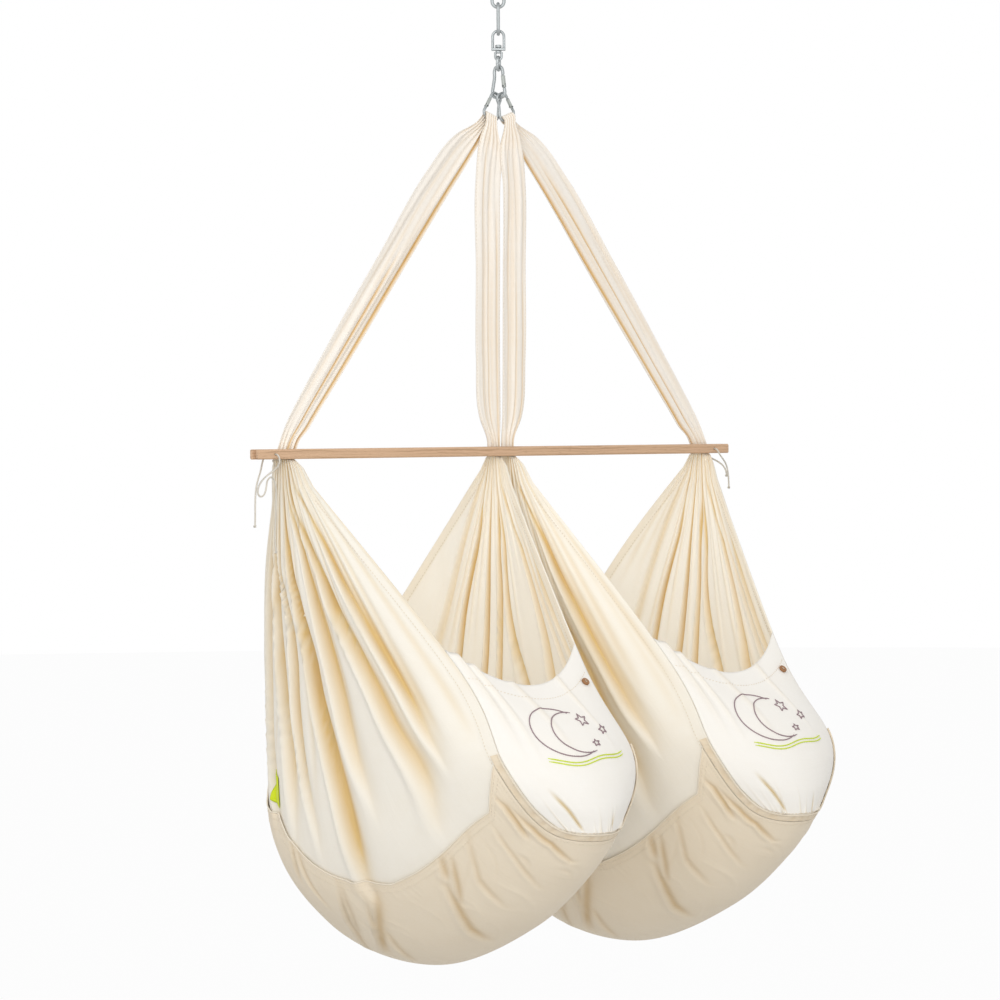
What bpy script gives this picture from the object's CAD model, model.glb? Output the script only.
"""Dresses the hanging twin baby cradle: cloth, straps, spreader bar, hooks, chain and tie cords."""

import math
import random
import bmesh
import bpy
import numpy as np
from bpy.props import FloatProperty, FloatVectorProperty, PointerProperty
from mathutils import Matrix, Vector


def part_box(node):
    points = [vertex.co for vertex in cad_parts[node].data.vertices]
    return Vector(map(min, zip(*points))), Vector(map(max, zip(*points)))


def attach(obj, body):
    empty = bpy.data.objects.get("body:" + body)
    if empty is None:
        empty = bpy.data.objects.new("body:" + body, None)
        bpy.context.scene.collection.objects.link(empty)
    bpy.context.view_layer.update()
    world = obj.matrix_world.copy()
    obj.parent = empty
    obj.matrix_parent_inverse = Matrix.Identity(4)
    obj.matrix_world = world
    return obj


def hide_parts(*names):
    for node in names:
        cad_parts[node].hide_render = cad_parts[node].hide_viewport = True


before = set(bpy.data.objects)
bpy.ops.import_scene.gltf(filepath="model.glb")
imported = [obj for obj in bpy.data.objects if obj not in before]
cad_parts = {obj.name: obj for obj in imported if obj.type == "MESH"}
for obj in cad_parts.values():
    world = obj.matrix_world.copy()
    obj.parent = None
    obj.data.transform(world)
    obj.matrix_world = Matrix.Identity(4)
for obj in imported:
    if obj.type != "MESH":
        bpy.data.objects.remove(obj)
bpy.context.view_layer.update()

bl_info = {
    "name": "Hanging twin cradle",
    "version": (1, 0, 0),
    "blender": (4, 5, 0),
    "location": "3D View > Sidebar > Cradle",
    "description": "Adds the pieces of a hanging twin cradle around its packed solids",
    "category": "Add Mesh",
}

BAR_LOW, BAR_HIGH = (np.array(corner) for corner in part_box("spreader_bar"))
BAR_Z = (BAR_LOW[2] + BAR_HIGH[2]) / 2

# Cradle cloth, in metres
CRADLE_CENTRE = 0.228
INNER_WIDTH_SHARE = 0.955
CRADLE_SIZE = np.array([0.224, 0.530, 0.872])
GATHER_Z = BAR_Z - 0.014
OUTER_GATHER = 0.480
INNER_GATHER = 0.016
OUTER_BUNDLE = 0.042
INNER_BUNDLE = 0.029
BUNDLE_SHIFT = 0.006
GATHER_CROWN = 0.0066
CLOTH = 0.002
COLUMNS = 24
BUNDLE_FOLD = 0.0022
BASE_TOP_SHARES = [0.54, 0.4, 0.4, 0.41, 0.49, 0.56, 0.525, 0.52, 0.52]

# Keel, low, middle and high points of seven threads, from the foot hem to the head hem
THREAD_SHARES = np.array([
    [[0, -0.989, -0.709], [0.353, -0.919, -0.689], [0.636, -0.84, -0.58], [0.616, -0.613, -0.408]],
    [[0, -0.861, -0.8], [0.425, -0.775, -0.759], [0.774, -0.659, -0.622], [0.899, -0.421, -0.426]],
    [[0, -0.595, -0.911], [0.478, -0.522, -0.869], [0.881, -0.396, -0.732], [0.97, -0.241, -0.449]],
    [[0, -0.206, -0.998], [0.526, -0.166, -0.942], [0.957, -0.082, -0.79], [1.013, -0.05, -0.471]],
    [[0, 0.156, -0.964], [0.507, 0.158, -0.908], [0.921, 0.167, -0.746], [0.986, 0.097, -0.447]],
    [[0, 0.365, -0.824], [0.389, 0.355, -0.764], [0.695, 0.306, -0.629], [0.901, 0.198, -0.366]],
    [[0, 0.452, -0.492], [0.266, 0.444, -0.458], [0.521, 0.37, -0.359], [0.803, 0.224, -0.188]],
])

# Straps and lower snap hooks, in metres
STRAP_DROP = 0.589
STRAP_WIDTH = 0.058
STRAP_CLOTH = 0.003
STRAP_FOLD = 0.006
STRAP_FOLDS = 5
LEG_STATION_SHARES = [0, 0.032, 0.1, 0.28, 0.55, 0.8, 0.93, 0.985]
INNER_WIDTH_SHARES = [0.5, 0.52, 0.84, 1, 0.98, 0.95, 0.84, 0.5]
OUTER_BOW = [0, 0.004, 0.008, 0.013, 0.019, 0.024, 0.016, 0.003]
OUTER_WIDTH_SHARES = [0.72, 0.74, 0.84, 0.96, 1.06, 1.12, 0.92, 0.46]
LEG_FOLD_SHARES = [0.52, 0.52, 0.8, 1, 1, 1, 0.67, 0.2]
LOWER_HOOK_WIRE = 0.005
LOWER_HOOK_PITCH = 0.046
LOWER_HOOK_WIDTH = 0.033
LOWER_HOOK_SPACING = 0.007
LOWER_HOOK_TILT = math.radians(22)
UPPER_HOOK_TURN = math.radians(-70)
CLEARANCE = 0.0003
STITCH_GAP = 0.002

# Camera, in metres and radians
CAMERA_DISTANCE = 6.824
CAMERA_RISE = 0.05
CAMERA_TURN = math.radians(-40)
CAMERA_ROLL = math.radians(0.4)
CAMERA_LENS = 138.96
CAMERA_SHIFT = (-0.001, -0.077)
AIM_BELOW_BAR = 0.3

# Tie cords, in millimetres from the middle of their hole, from the tail in front to the tail behind
CORD_DIAMETER = 0.003
TIE_HOLE = 0.505
LEFT_TIE_ROUTE = [
    (-2, -14, -166), (-3.5, -14, -150), (-4, -14, -134), (-3, -14, -118), (-2, -14, -102),
    (-1.5, -14.5, -86), (-1.5, -15, -72), (-2.3, -15.5, -59), (-4.8, -16, -47.5), (-9.3, -16.5, -40),
    (-16, -17, -38.8), (-21.5, -17.5, -43.5), (-24, -17.8, -52), (-26.3, -18.2, -61), (-31, -19, -68),
    (-37.7, -20, -70.5), (-43.5, -21, -66.7), (-45, -22, -58.5), (-41, -23, -48.5), (-33, -24, -39.5),
    (-22, -24.5, -32), (-11, -24.5, -25), (-3, -24, -17.5), (0, -22.5, -9), (0, -19, -2.5), (0, -13, 0),
    (0, 0, 0), (0, 13, 0), (-0.2, 19, -2.5), (-1.2, 22, -9), (-4, 21.5, -17), (-9.5, 17, -25),
    (-17, 10, -32), (-25, 3.5, -40), (-32, -1, -51), (-36.5, -4, -64), (-39, -6, -78), (-40, -7, -93),
    (-40.5, -7.5, -108), (-41, -7.5, -122),
]
RIGHT_TIE_ROUTE = [
    (34, -14, -74), (33.5, -14, -60), (32, -14, -46), (28, -15, -34), (21, -17.5, -25), (12, -21, -18.5),
    (4, -23, -12), (0.3, -22, -6), (0, -18, -1.5), (0, -12.5, 0), (0, 0, 0), (0, 12.5, 0),
    (0.3, 18.5, -1.8), (2.5, 22, -7), (9, 21.5, -13.5), (19, 14.5, -19), (28, 7.5, -25), (35, 2, -32.5),
    (39, -1, -42), (40, -2, -52),
]


# Shading

class Shade:
    """A number or colour that comes out of a node, for use in ordinary expressions."""

    def __init__(self, tree, socket):
        self.tree = tree
        self.socket = socket

    def math(self, operation, other=None, flipped=False):
        values = [self.socket] if other is None else [self.socket, other]
        if flipped:
            values.reverse()
        return add_node(self.tree, "ShaderNodeMath", {"operation": operation}, dict(enumerate(values)))

    def __add__(self, other):
        return self.math("ADD", other)

    def __radd__(self, other):
        return self.math("ADD", other, True)

    def __sub__(self, other):
        return self.math("SUBTRACT", other)

    def __rsub__(self, other):
        return self.math("SUBTRACT", other, True)

    def __mul__(self, other):
        return self.math("MULTIPLY", other)

    def __rmul__(self, other):
        return self.math("MULTIPLY", other, True)

    def __truediv__(self, other):
        return self.math("DIVIDE", other)

    def __pow__(self, other):
        return self.math("POWER", other)


def add_node(tree, kind, settings=None, values=None, output=0):
    """Adds a node: its settings first, then the values or links of its sockets."""
    node = tree.nodes.new(kind)
    for name, value in (settings or {}).items():
        if name == "stops":
            ramp = node.color_ramp
            while len(ramp.elements) < len(value):
                ramp.elements.new(0.5)
            for element, (place, colour) in zip(ramp.elements, value):
                element.position = place
                element.color = (*colour[:3], 1)
        else:
            setattr(node, name, value)
    for name, value in (values or {}).items():
        socket = node.inputs[name]
        if isinstance(value, Shade):
            value = value.socket
        if isinstance(value, bpy.types.NodeSocket):
            tree.links.new(value, socket)
        else:
            socket.default_value = value
    return Shade(tree, node.outputs[output])


def linear(hex_colour):
    """A hexadecimal colour as linear red, green, blue and alpha."""
    channels = [int(hex_colour[i:i + 2], 16) / 255 for i in (0, 2, 4)]
    return (*[c / 12.92 if c <= 0.04045 else ((c + 0.055) / 1.055) ** 2.4 for c in channels], 1)


def mix_colours(tree, share, first, second):
    return add_node(tree, "ShaderNodeMix", {"data_type": "RGBA"}, {0: share, 6: first, 7: second}, 2)


def new_material(name):
    """An empty Principled material: its tree and its shader."""
    material = bpy.data.materials.new(name)
    material.use_nodes = True
    tree = material.node_tree
    shader = next(node for node in tree.nodes if node.type == "BSDF_PRINCIPLED")
    return material, tree, shader


def link(tree, value, socket):
    tree.links.new(value.socket, socket)


def noise(tree, vector, scale, detail=3.0, roughness=0.5):
    values = {"Vector": vector, "Scale": scale, "Detail": detail, "Roughness": roughness}
    return add_node(tree, "ShaderNodeTexNoise", {}, values)


def stretched(tree, vector, scale):
    return add_node(tree, "ShaderNodeMapping", {}, {"Vector": vector, "Scale": scale})


def raised(tree, shader, height, strength, distance):
    """Shades the surface as if a pattern's height stood out of it by a distance in metres."""
    values = {"Height": height, "Strength": strength, "Distance": distance}
    link(tree, add_node(tree, "ShaderNodeBump", {}, values), shader.inputs["Normal"])


def cloth_material(name, colour, fold_colour, weave=900.0, fold_strength=1.0, bump=0.35, glow=0.0):
    """Woven cotton: a fine weave, slubs, faint wrinkles along the threads, warm shade in the folds, and
    on inner sides the light that comes through the cloth."""
    material, tree, shader = new_material(name)
    uv = add_node(tree, "ShaderNodeUVMap", {"uv_map": "threads"})
    warp, weft = (
        add_node(tree, "ShaderNodeTexWave", {"wave_type": "BANDS", "bands_direction": direction},
                 {"Vector": uv, "Scale": weave * math.tau / 20, "Distortion": 0.6, "Detail": 1.0}, 1)
        for direction in "XY"
    )
    slubs = noise(tree, stretched(tree, uv, (weave / 10, weave, 1)), 1.0, 2.0)
    mottle = noise(tree, uv, 14.0, 4.0)
    wrinkles = noise(tree, stretched(tree, uv, (42, 5, 1)), 1.0, 5.0, 0.6)
    crease = add_node(tree, "ShaderNodeAttribute", {"attribute_name": "crease"}, output=2)
    depth = (crease * (0.75 + 0.5 * wrinkles) * fold_strength).math("MINIMUM", 1.0)
    tone = mix_colours(tree, mottle * 0.12, linear(colour), linear(fold_colour))
    tone = mix_colours(tree, (slubs - 0.45).math("MAXIMUM", 0.0) * 0.35, tone, linear("FFFFFF"))
    tone = mix_colours(tree, depth, tone, linear(fold_colour))
    link(tree, tone, shader.inputs["Base Color"])
    link(tree, 0.92 - 0.12 * slubs, shader.inputs["Roughness"])
    raised(tree, shader, wrinkles * 3.0 + (warp + weft) * 0.05 + slubs * 0.2, bump, 0.0012)
    shader.inputs["Sheen Weight"].default_value = 0.15
    inside = add_node(tree, "ShaderNodeAttribute", {"attribute_name": "inside"}, output=2)
    link(tree, mix_colours(tree, inside * glow, (0, 0, 0, 1), tone), shader.inputs["Emission Color"])
    shader.inputs["Emission Strength"].default_value = 1.0
    shader.inputs["Specular IOR Level"].default_value = 0.2
    return material


def thread_material(name, colour):
    """Twisted sewing thread with a soft shine."""
    material, tree, shader = new_material(name)
    place = add_node(tree, "ShaderNodeTexCoord", output=3)
    twist = add_node(tree, "ShaderNodeTexWave", {"bands_direction": "DIAGONAL"},
                     {"Vector": place, "Scale": 420.0, "Distortion": 1.5})
    tone = mix_colours(tree, noise(tree, place, 160.0) * 0.2, linear(colour), (0.25, 0.2, 0.2, 1))
    link(tree, tone, shader.inputs["Base Color"])
    raised(tree, shader, twist, 0.4, 0.0004)
    shader.inputs["Roughness"].default_value = 0.6
    return material


def cord_material(name, colour):
    """Three-ply cotton cord, its plies winding along the cord's own length."""
    material, tree, shader = new_material(name)
    uv = add_node(tree, "ShaderNodeUVMap", {"uv_map": "threads"})
    plies = add_node(tree, "ShaderNodeTexWave", {"bands_direction": "DIAGONAL"},
                     {"Vector": uv, "Scale": 1.0, "Distortion": 0.4})
    fuzz = noise(tree, uv, 9.0, 3.0)
    tone = mix_colours(tree, (1 - plies) * 0.3, linear(colour), linear("C9B89A"))
    link(tree, tone, shader.inputs["Base Color"])
    link(tree, 0.85 + 0.1 * fuzz, shader.inputs["Roughness"])
    raised(tree, shader, plies + fuzz * 0.3, 0.8, 0.0008)
    return material


def wood_material(name, light, dark, ring_scale=60.0, along=(1.0, 26.0, 26.0)):
    """Oiled beech: long grain along the bar, short dark flecks and fine pores."""
    material, tree, shader = new_material(name)
    place = add_node(tree, "ShaderNodeTexCoord", output=3)
    grain = noise(tree, stretched(tree, place, along), 4.0, 6.0, 0.62)
    rings = add_node(tree, "ShaderNodeTexWave", {"bands_direction": "Z"},
                     {"Vector": stretched(tree, place, (0.35, 1, 1)), "Scale": ring_scale,
                      "Distortion": 7.0, "Detail": 3.0, "Detail Scale": 0.6})
    flecks = noise(tree, stretched(tree, place, (90.0, 700.0, 700.0)), 1.0, 2.0, 0.4)
    fleck = ((flecks - 0.6) * 6.0).math("MAXIMUM", 0.0).math("MINIMUM", 1.0)
    stops = [(0.25, linear(dark)), (0.5, linear(light)), (0.8, linear(light))]
    tone = add_node(tree, "ShaderNodeValToRGB", {"stops": stops}, {"Fac": grain * 0.75 + rings * 0.25})
    tone = mix_colours(tree, fleck * 0.45, tone, linear(dark))
    broad = noise(tree, stretched(tree, place, (3.0, 30.0, 30.0)), 1.0, 2.0)
    tone = mix_colours(tree, broad * 0.3, tone, linear("E6C39C"))
    link(tree, tone, shader.inputs["Base Color"])
    link(tree, 0.48 + 0.2 * grain, shader.inputs["Roughness"])
    raised(tree, shader, grain + fleck * 0.6, 0.25, 0.0006)
    return material


def steel_material(name, colour, rough=0.3):
    """Zinc-plated steel: slightly uneven shine, faint spangle and rubbed darker patches."""
    material, tree, shader = new_material(name)
    place = add_node(tree, "ShaderNodeTexCoord", output=3)
    spangle = add_node(tree, "ShaderNodeTexVoronoi", {}, {"Vector": place, "Scale": 420.0})
    patches = noise(tree, place, 70.0, 4.0)
    tone = mix_colours(tree, patches * 0.4, linear(colour), linear("73777A"))
    tone = mix_colours(tree, spangle * 0.2, tone, linear("C9CCCB"))
    link(tree, tone, shader.inputs["Base Color"])
    link(tree, rough + 0.22 * patches + 0.1 * spangle, shader.inputs["Roughness"])
    raised(tree, shader, noise(tree, place, 900.0, 2.0), 0.12, 0.0003)
    shader.inputs["Metallic"].default_value = 0.9
    return material


def stage_material(name, share):
    """White floor or backdrop that shows white to the camera and in shine by a share, and keeps the
    object's shadow by the rest."""
    material, tree, shader = new_material(name)
    shader.inputs["Base Color"].default_value = (0.68, 0.68, 0.68, 1)
    shader.inputs["Roughness"].default_value = 0.95
    shader.inputs["Specular IOR Level"].default_value = 0.0
    path = tree.nodes.new("ShaderNodeLightPath")
    seen = Shade(tree, path.outputs["Is Camera Ray"])
    seen = seen.math("MAXIMUM", path.outputs["Is Glossy Ray"])
    seen = seen.math("MAXIMUM", path.outputs["Is Transmission Ray"])
    white = add_node(tree, "ShaderNodeEmission", {}, {"Color": (1, 1, 1, 1), "Strength": 1.0})
    bare = Shade(tree, shader.outputs[0])
    mixed = add_node(tree, "ShaderNodeMixShader", {}, {0: seen * share, 1: bare, 2: white})
    output = next(node for node in tree.nodes if node.type == "OUTPUT_MATERIAL")
    link(tree, mixed, output.inputs["Surface"])
    return material


# Curves and surfaces

def through(values, share, before=None, each=False):
    """Smooth curve through equally spaced values, at an array of shares. A value before the first sets
    the slope that the curve starts with, and with each, every share has its own column of values."""
    values = np.asarray(values, float)
    last = len(values) - 1
    place = np.clip(share, 0, 1) * last
    index = np.minimum(place.astype(int), last - 1)
    slopes = np.empty_like(values)
    slopes[1:-1] = (values[2:] - values[:-2]) / 2
    slopes[0] = values[1] - values[0] if before is None else (values[1] - before) / 2
    slopes[-1] = values[-1] - values[-2]
    here = (index, np.arange(len(index))) if each else (index,)
    there = (index + 1, *here[1:])
    s = (place - index).reshape(index.shape + (1,) * (values[here].ndim - 1))
    return (
        (2 * s**3 - 3 * s**2 + 1) * values[here] + (s**3 - 2 * s**2 + s) * slopes[here]
        + (3 * s**2 - 2 * s**3) * values[there] + (s**3 - s**2) * slopes[there]
    )


def curve_at(keys, values, places):
    """Smooth curve through values at unequal keys, sampled at places."""
    keys, values = np.asarray(keys, float), np.asarray(values, float)
    steps = np.diff(keys)[:, None]
    chords = np.diff(values, axis=0) / steps
    slopes = np.concatenate([
        chords[:1],
        (chords[:-1] * steps[1:] + chords[1:] * steps[:-1]) / (steps[1:] + steps[:-1]),
        chords[-1:],
    ])
    i = np.clip(np.searchsorted(keys, places, side="right") - 1, 0, len(keys) - 2)
    span = steps[i]
    s = ((places - keys[i]) / span[:, 0])[:, None]
    return (
        (2 * s**3 - 3 * s**2 + 1) * values[i] + (s**3 - 2 * s**2 + s) * slopes[i] * span
        + (3 * s**2 - 2 * s**3) * values[i + 1] + (s**3 - s**2) * slopes[i + 1] * span
    )


def lengths_along(points):
    """Length of a line of points, from its start to each of them."""
    return np.concatenate([[0], np.cumsum(np.linalg.norm(np.diff(points, axis=0), axis=-1))])


def resampled(values, run, places):
    """Rows of values at new places along a line, whose own rows lie at the lengths in run."""
    return np.stack([np.interp(places, run, values[:, k]) for k in range(values.shape[1])], axis=1)


def smoothstep(value, low, high):
    t = np.clip((np.asarray(value, float) - low) / (high - low), 0, 1)
    return t * t * (3 - 2 * t)


def cloth_point(side, across, along):
    """Points of the smooth cloth: across from the foot hem, 0, to the head hem, 1, and along from the
    left gather, -1, over the keel, 0, to the right gather, 1."""
    hand = np.where(along < 0, -1.0, 1.0)
    centre = side * CRADLE_CENTRE
    outer = hand == side
    rows = through(THREAD_SHARES, across) * CRADLE_SIZE
    rows[..., 0] *= (hand * np.where(outer, 1, INNER_WIDTH_SHARE))[:, None]
    rows += np.array([centre, 0, BAR_Z])
    shift = 0.5 - across
    bundle = np.where(outer, OUTER_BUNDLE, INNER_BUNDLE) - CLOTH
    gather_x = side * np.where(outer, OUTER_GATHER, INNER_GATHER) + shift * bundle
    gather = np.stack([gather_x, -shift * BUNDLE_SHIFT, np.full_like(across, GATHER_Z)], axis=-1)
    curve = np.concatenate([np.moveaxis(rows, 1, 0), gather[None]])
    before = curve[1] * (-1, 1, 1) + (2 * centre, 0, 0)
    return through(curve, np.abs(along), before, each=True)


def cloth_normal(side, across, along):
    nudge = 0.004
    u = (cloth_point(side, np.minimum(across + nudge, 1), along)
         - cloth_point(side, np.maximum(across - nudge, 0), along))
    v = (cloth_point(side, across, np.minimum(along + nudge, 1))
         - cloth_point(side, across, np.maximum(along - nudge, -1)))
    normal = np.cross(u, v)
    return normal / np.linalg.norm(normal, axis=1, keepdims=True)


def zigzag(across):
    """Main folds: -1 and 1 on alternate columns, with softly rounded turns."""
    phase = np.abs((np.asarray(across) * COLUMNS) % 2 - 1)
    soft = 0.5 - 0.5 * np.cos(np.pi * phase)
    return 1 - 2 * (0.55 * phase + 0.45 * soft)


def base_top(across):
    """Share along the thread where the base layer ends, at each place across."""
    return np.interp(across, np.linspace(0, 1, len(BASE_TOP_SHARES)), BASE_TOP_SHARES)


# Folds of the walls: depth in metres, width across, strength of the warm shade, and places as share
# along the thread and place across. The left wall's folds are valleys, the right wall's are ridges.
LEFT_WALL_FOLDS = [
    (0.018, 0.026, 1.0, [(0.58, 0.15), (0.66, 0.153), (0.72, 0.15), (0.78, 0.154), (0.83, 0.163),
                         (0.87, 0.178), (0.92, 0.198), (0.95, 0.235), (0.98, 0.33)]),
    (0.021, 0.031, 1.0, [(0.47, 0.235), (0.52, 0.224), (0.6, 0.216), (0.68, 0.221), (0.76, 0.23),
                         (0.8, 0.25), (0.84, 0.28), (0.88, 0.305), (0.92, 0.35), (0.955, 0.42)]),
    (0.019, 0.025, 0.95, [(0.59, 0.335), (0.64, 0.35), (0.7, 0.364), (0.78, 0.37), (0.84, 0.38),
                         (0.88, 0.39), (0.92, 0.41), (0.95, 0.45), (0.98, 0.49)]),
    (0.023, 0.021, 1.6, [(0.42, 0.42), (0.5, 0.408), (0.6, 0.413), (0.68, 0.43), (0.75, 0.448),
                         (0.8, 0.452), (0.85, 0.487), (0.89, 0.53), (0.93, 0.557), (0.98, 0.557)]),
    (0.015, 0.018, 0.9, [(0.56, 0.49), (0.61, 0.505), (0.68, 0.532), (0.75, 0.547), (0.8, 0.545),
                         (0.85, 0.58), (0.88, 0.65), (0.92, 0.68), (0.97, 0.66)]),
    (0.018, 0.028, 1.0, [(0.57, 0.555), (0.62, 0.568), (0.68, 0.59), (0.73, 0.63), (0.8, 0.66),
                         (0.87, 0.71), (0.91, 0.76), (0.97, 0.75)]),
    (0.016, 0.027, 0.85, [(0.55, 0.64), (0.6, 0.67), (0.68, 0.735), (0.75, 0.772), (0.83, 0.797),
                          (0.95, 0.83)]),
    (0.014, 0.022, 0.8, [(0.5, 0.83), (0.6, 0.85), (0.8, 0.87), (0.95, 0.9)]),
]
RIGHT_WALL_FOLDS = [
    (0.009, 0.014, 0.8, [(0.5, 0.1), (0.77, 0.085), (0.82, 0.088), (0.95, 0.12)]),
    (0.010, 0.018, 0.6, [(0.5, 0.165), (0.8, 0.165), (0.95, 0.2)]),
    (0.013, 0.020, 0.95, [(0.5, 0.27), (0.76, 0.265), (0.82, 0.24), (0.9, 0.25), (0.97, 0.33)]),
    (0.013, 0.019, 1.1, [(0.55, 0.38), (0.77, 0.41), (0.8, 0.43), (0.86, 0.443), (0.91, 0.42),
                         (0.97, 0.43)]),
    (0.014, 0.014, 1.35, [(0.55, 0.54), (0.75, 0.527), (0.81, 0.512), (0.855, 0.495), (0.91, 0.485),
                          (0.96, 0.45)]),
    (0.014, 0.015, 1.35, [(0.55, 0.63), (0.75, 0.615), (0.79, 0.605), (0.85, 0.6), (0.915, 0.605),
                          (0.97, 0.6)]),
    (0.012, 0.016, 1.1, [(0.55, 0.72), (0.75, 0.752), (0.83, 0.763), (0.87, 0.755), (0.906, 0.742),
                         (0.97, 0.78)]),
    (0.009, 0.024, 0.4, [(0.5, 0.86), (0.73, 0.86), (0.95, 0.9)]),
]


def wall_folds(side, across, along):
    """Height of the walls' long folds in metres, and how warm the shade is on the outside and inside."""
    reach = np.abs(along)
    height = np.zeros_like(across)
    tints = [np.zeros_like(across), np.zeros_like(across)]
    calm = smoothstep(np.minimum(across, 1 - across), 0.02, 0.1)
    for k, (hand, folds) in enumerate(((-1, LEFT_WALL_FOLDS), (1, RIGHT_WALL_FOLDS))):
        here = np.where(along * hand > 0, 1.0, 0.0)
        narrow = (1 - 0.8 * smoothstep(reach, 0.8, 0.97)) * (1 - smoothstep(reach, 0.96, 0.995))
        height -= hand * 0.0075 * here * calm * narrow * smoothstep(reach, 0.45, 0.7)
        for i, (depth, width, tone, places) in enumerate(folds):
            keys, centres = zip(*places)
            wave = 0.004 * np.sin(reach * 17 + i * 2.4 + side) * smoothstep(1 - reach, 0.03, 0.3)
            centre = curve_at(keys, [[value] for value in centres], np.clip(reach, keys[0], keys[-1]))[:, 0]
            off = across - centre - wave
            steep, slow = (0.3, 1.25) if hand < 0 else (0.55, 0.75)
            spread = width * np.where(off > 0, steep, slow)
            start = smoothstep(reach, keys[0] - 0.08, keys[0] + 0.14) * here
            profile = np.exp(-np.abs(off / spread) ** 1.7)
            ridge = 0.35 * np.exp(-(((off - width * 0.75) / (width * 0.4)) ** 2))
            height += hand * (profile - ridge) * start * depth * narrow
            steep, slow = (0.34, 0.8) if hand < 0 else (0.5, 0.6)
            shade = np.exp(-np.abs(off / (width * np.where(off > 0, steep, slow))) ** 1.4) * start
            shade *= 1 - 0.4 * smoothstep(reach, 0.93, 1)
            tints[k] = np.maximum(tints[k], shade * tone * (0.62 + 0.38 * smoothstep(reach, keys[0], 0.82)))
    return height, tints


def fine_pleats(side, across, along):
    """Narrow creases that start at a gather and soon die out: their height in metres, and how deep in
    a crease each point lies, from 0 to 1."""
    height = np.zeros_like(across)
    crease = np.zeros_like(across)
    for hand in (-1, 1):
        rng = random.Random(40 + side * 7 + hand)
        reach = np.abs(along)
        on_this_half = np.where(along * hand >= 0, 1.0, 0.0)
        for i in range(26):
            start = (i + 0.5) / 26 + rng.uniform(-0.014, 0.014)
            drift = rng.uniform(-0.03, 0.03)
            width = rng.uniform(0.0065, 0.011)
            end = rng.choice([0.58, 0.66, 0.74, 0.8, 0.84, 0.86])
            depth = rng.uniform(0.0012, 0.0036)
            centre = start + drift * (1 - reach) ** 1.3 * 2
            spread = width * (1 + 0.9 * (1 - reach))
            profile = np.exp(-(((across - centre) / spread) ** 2))
            strength = smoothstep(reach, end, end + 0.14) * (1 - 0.62 * smoothstep(reach, 0.88, 1))
            height -= profile * strength * depth * on_this_half
            crease = np.maximum(crease, profile * strength * on_this_half * min(1, depth / 0.0034))
    return height, crease


def sheet_grid(side, across_values, along_values):
    """Grid of the draped cloth's middle: smooth points moved by the folds, normals, and crease depths."""
    across, along = np.meshgrid(across_values, along_values, indexing="ij")
    return sheet_points(side, across, along)


def sheet_points(side, across, along):
    """The same for any two arrays of places of one shape."""
    shape = across.shape
    across, along = across.ravel(), along.ravel()
    normal = cloth_normal(side, across, along)
    base = cloth_point(side, across, along)
    fine, crease = fine_pleats(side, across, along)
    folds, tints = wall_folds(side, across, along)
    gathered = zigzag(across) * BUNDLE_FOLD * smoothstep(np.abs(along), 0.8, 1)
    height = gathered + fine + folds
    near_gather = smoothstep(np.abs(along), 0.9, 1)
    outer_tint = np.clip(tints[0] + 0.4 * crease + 0.3 * near_gather * np.clip(-zigzag(across), 0, 1), 0, 1)
    inner_tint = np.clip(tints[1] + 0.25 * crease + 0.3 * near_gather * np.clip(zigzag(across), 0, 1), 0, 1)
    return {
        "point": (base + normal * height[:, None]).reshape(*shape, 3),
        "normal": normal.reshape(*shape, 3),
        "across": across.reshape(shape),
        "along": along.reshape(shape),
        "outer_tint": outer_tint.reshape(shape),
        "inner_tint": inner_tint.reshape(shape),
    }


def layer(grid, distance):
    distance = np.asarray(distance, float)
    if distance.ndim:
        distance = distance[..., None]
    return grid["point"] + grid["normal"] * distance


# Meshes

def select_only(piece):
    bpy.ops.object.select_all(action="DESELECT")
    piece.select_set(True)
    bpy.context.view_layer.objects.active = piece


def new_piece(name, vertices, faces, material):
    mesh = bpy.data.meshes.new(name)
    mesh.from_pydata([tuple(v) for v in vertices], [], faces)
    mesh.update()
    piece = bpy.data.objects.new(name, mesh)
    bpy.context.scene.collection.objects.link(piece)
    piece.data.materials.append(material)
    mesh.polygons.foreach_set("use_smooth", [True] * len(mesh.polygons))
    return piece


def set_threads(piece, coordinates, tint=None, inside=None):
    """Gives a piece its thread coordinates, in metres, its crease depths, and how much light comes
    through from behind, all per vertex."""
    mesh = piece.data
    loops = np.empty(len(mesh.loops), dtype=np.int32)
    mesh.loops.foreach_get("vertex_index", loops)
    uv = mesh.uv_layers.new(name="threads")
    uv.data.foreach_set("uv", np.asarray(coordinates, float)[loops].ravel())
    if tint is not None:
        attribute = mesh.attributes.new("crease", "FLOAT", "POINT")
        attribute.data.foreach_set("value", np.asarray(tint, float).ravel())
    if inside is not None:
        attribute = mesh.attributes.new("inside", "FLOAT", "POINT")
        attribute.data.foreach_set("value", np.asarray(inside, float).ravel())


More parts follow.
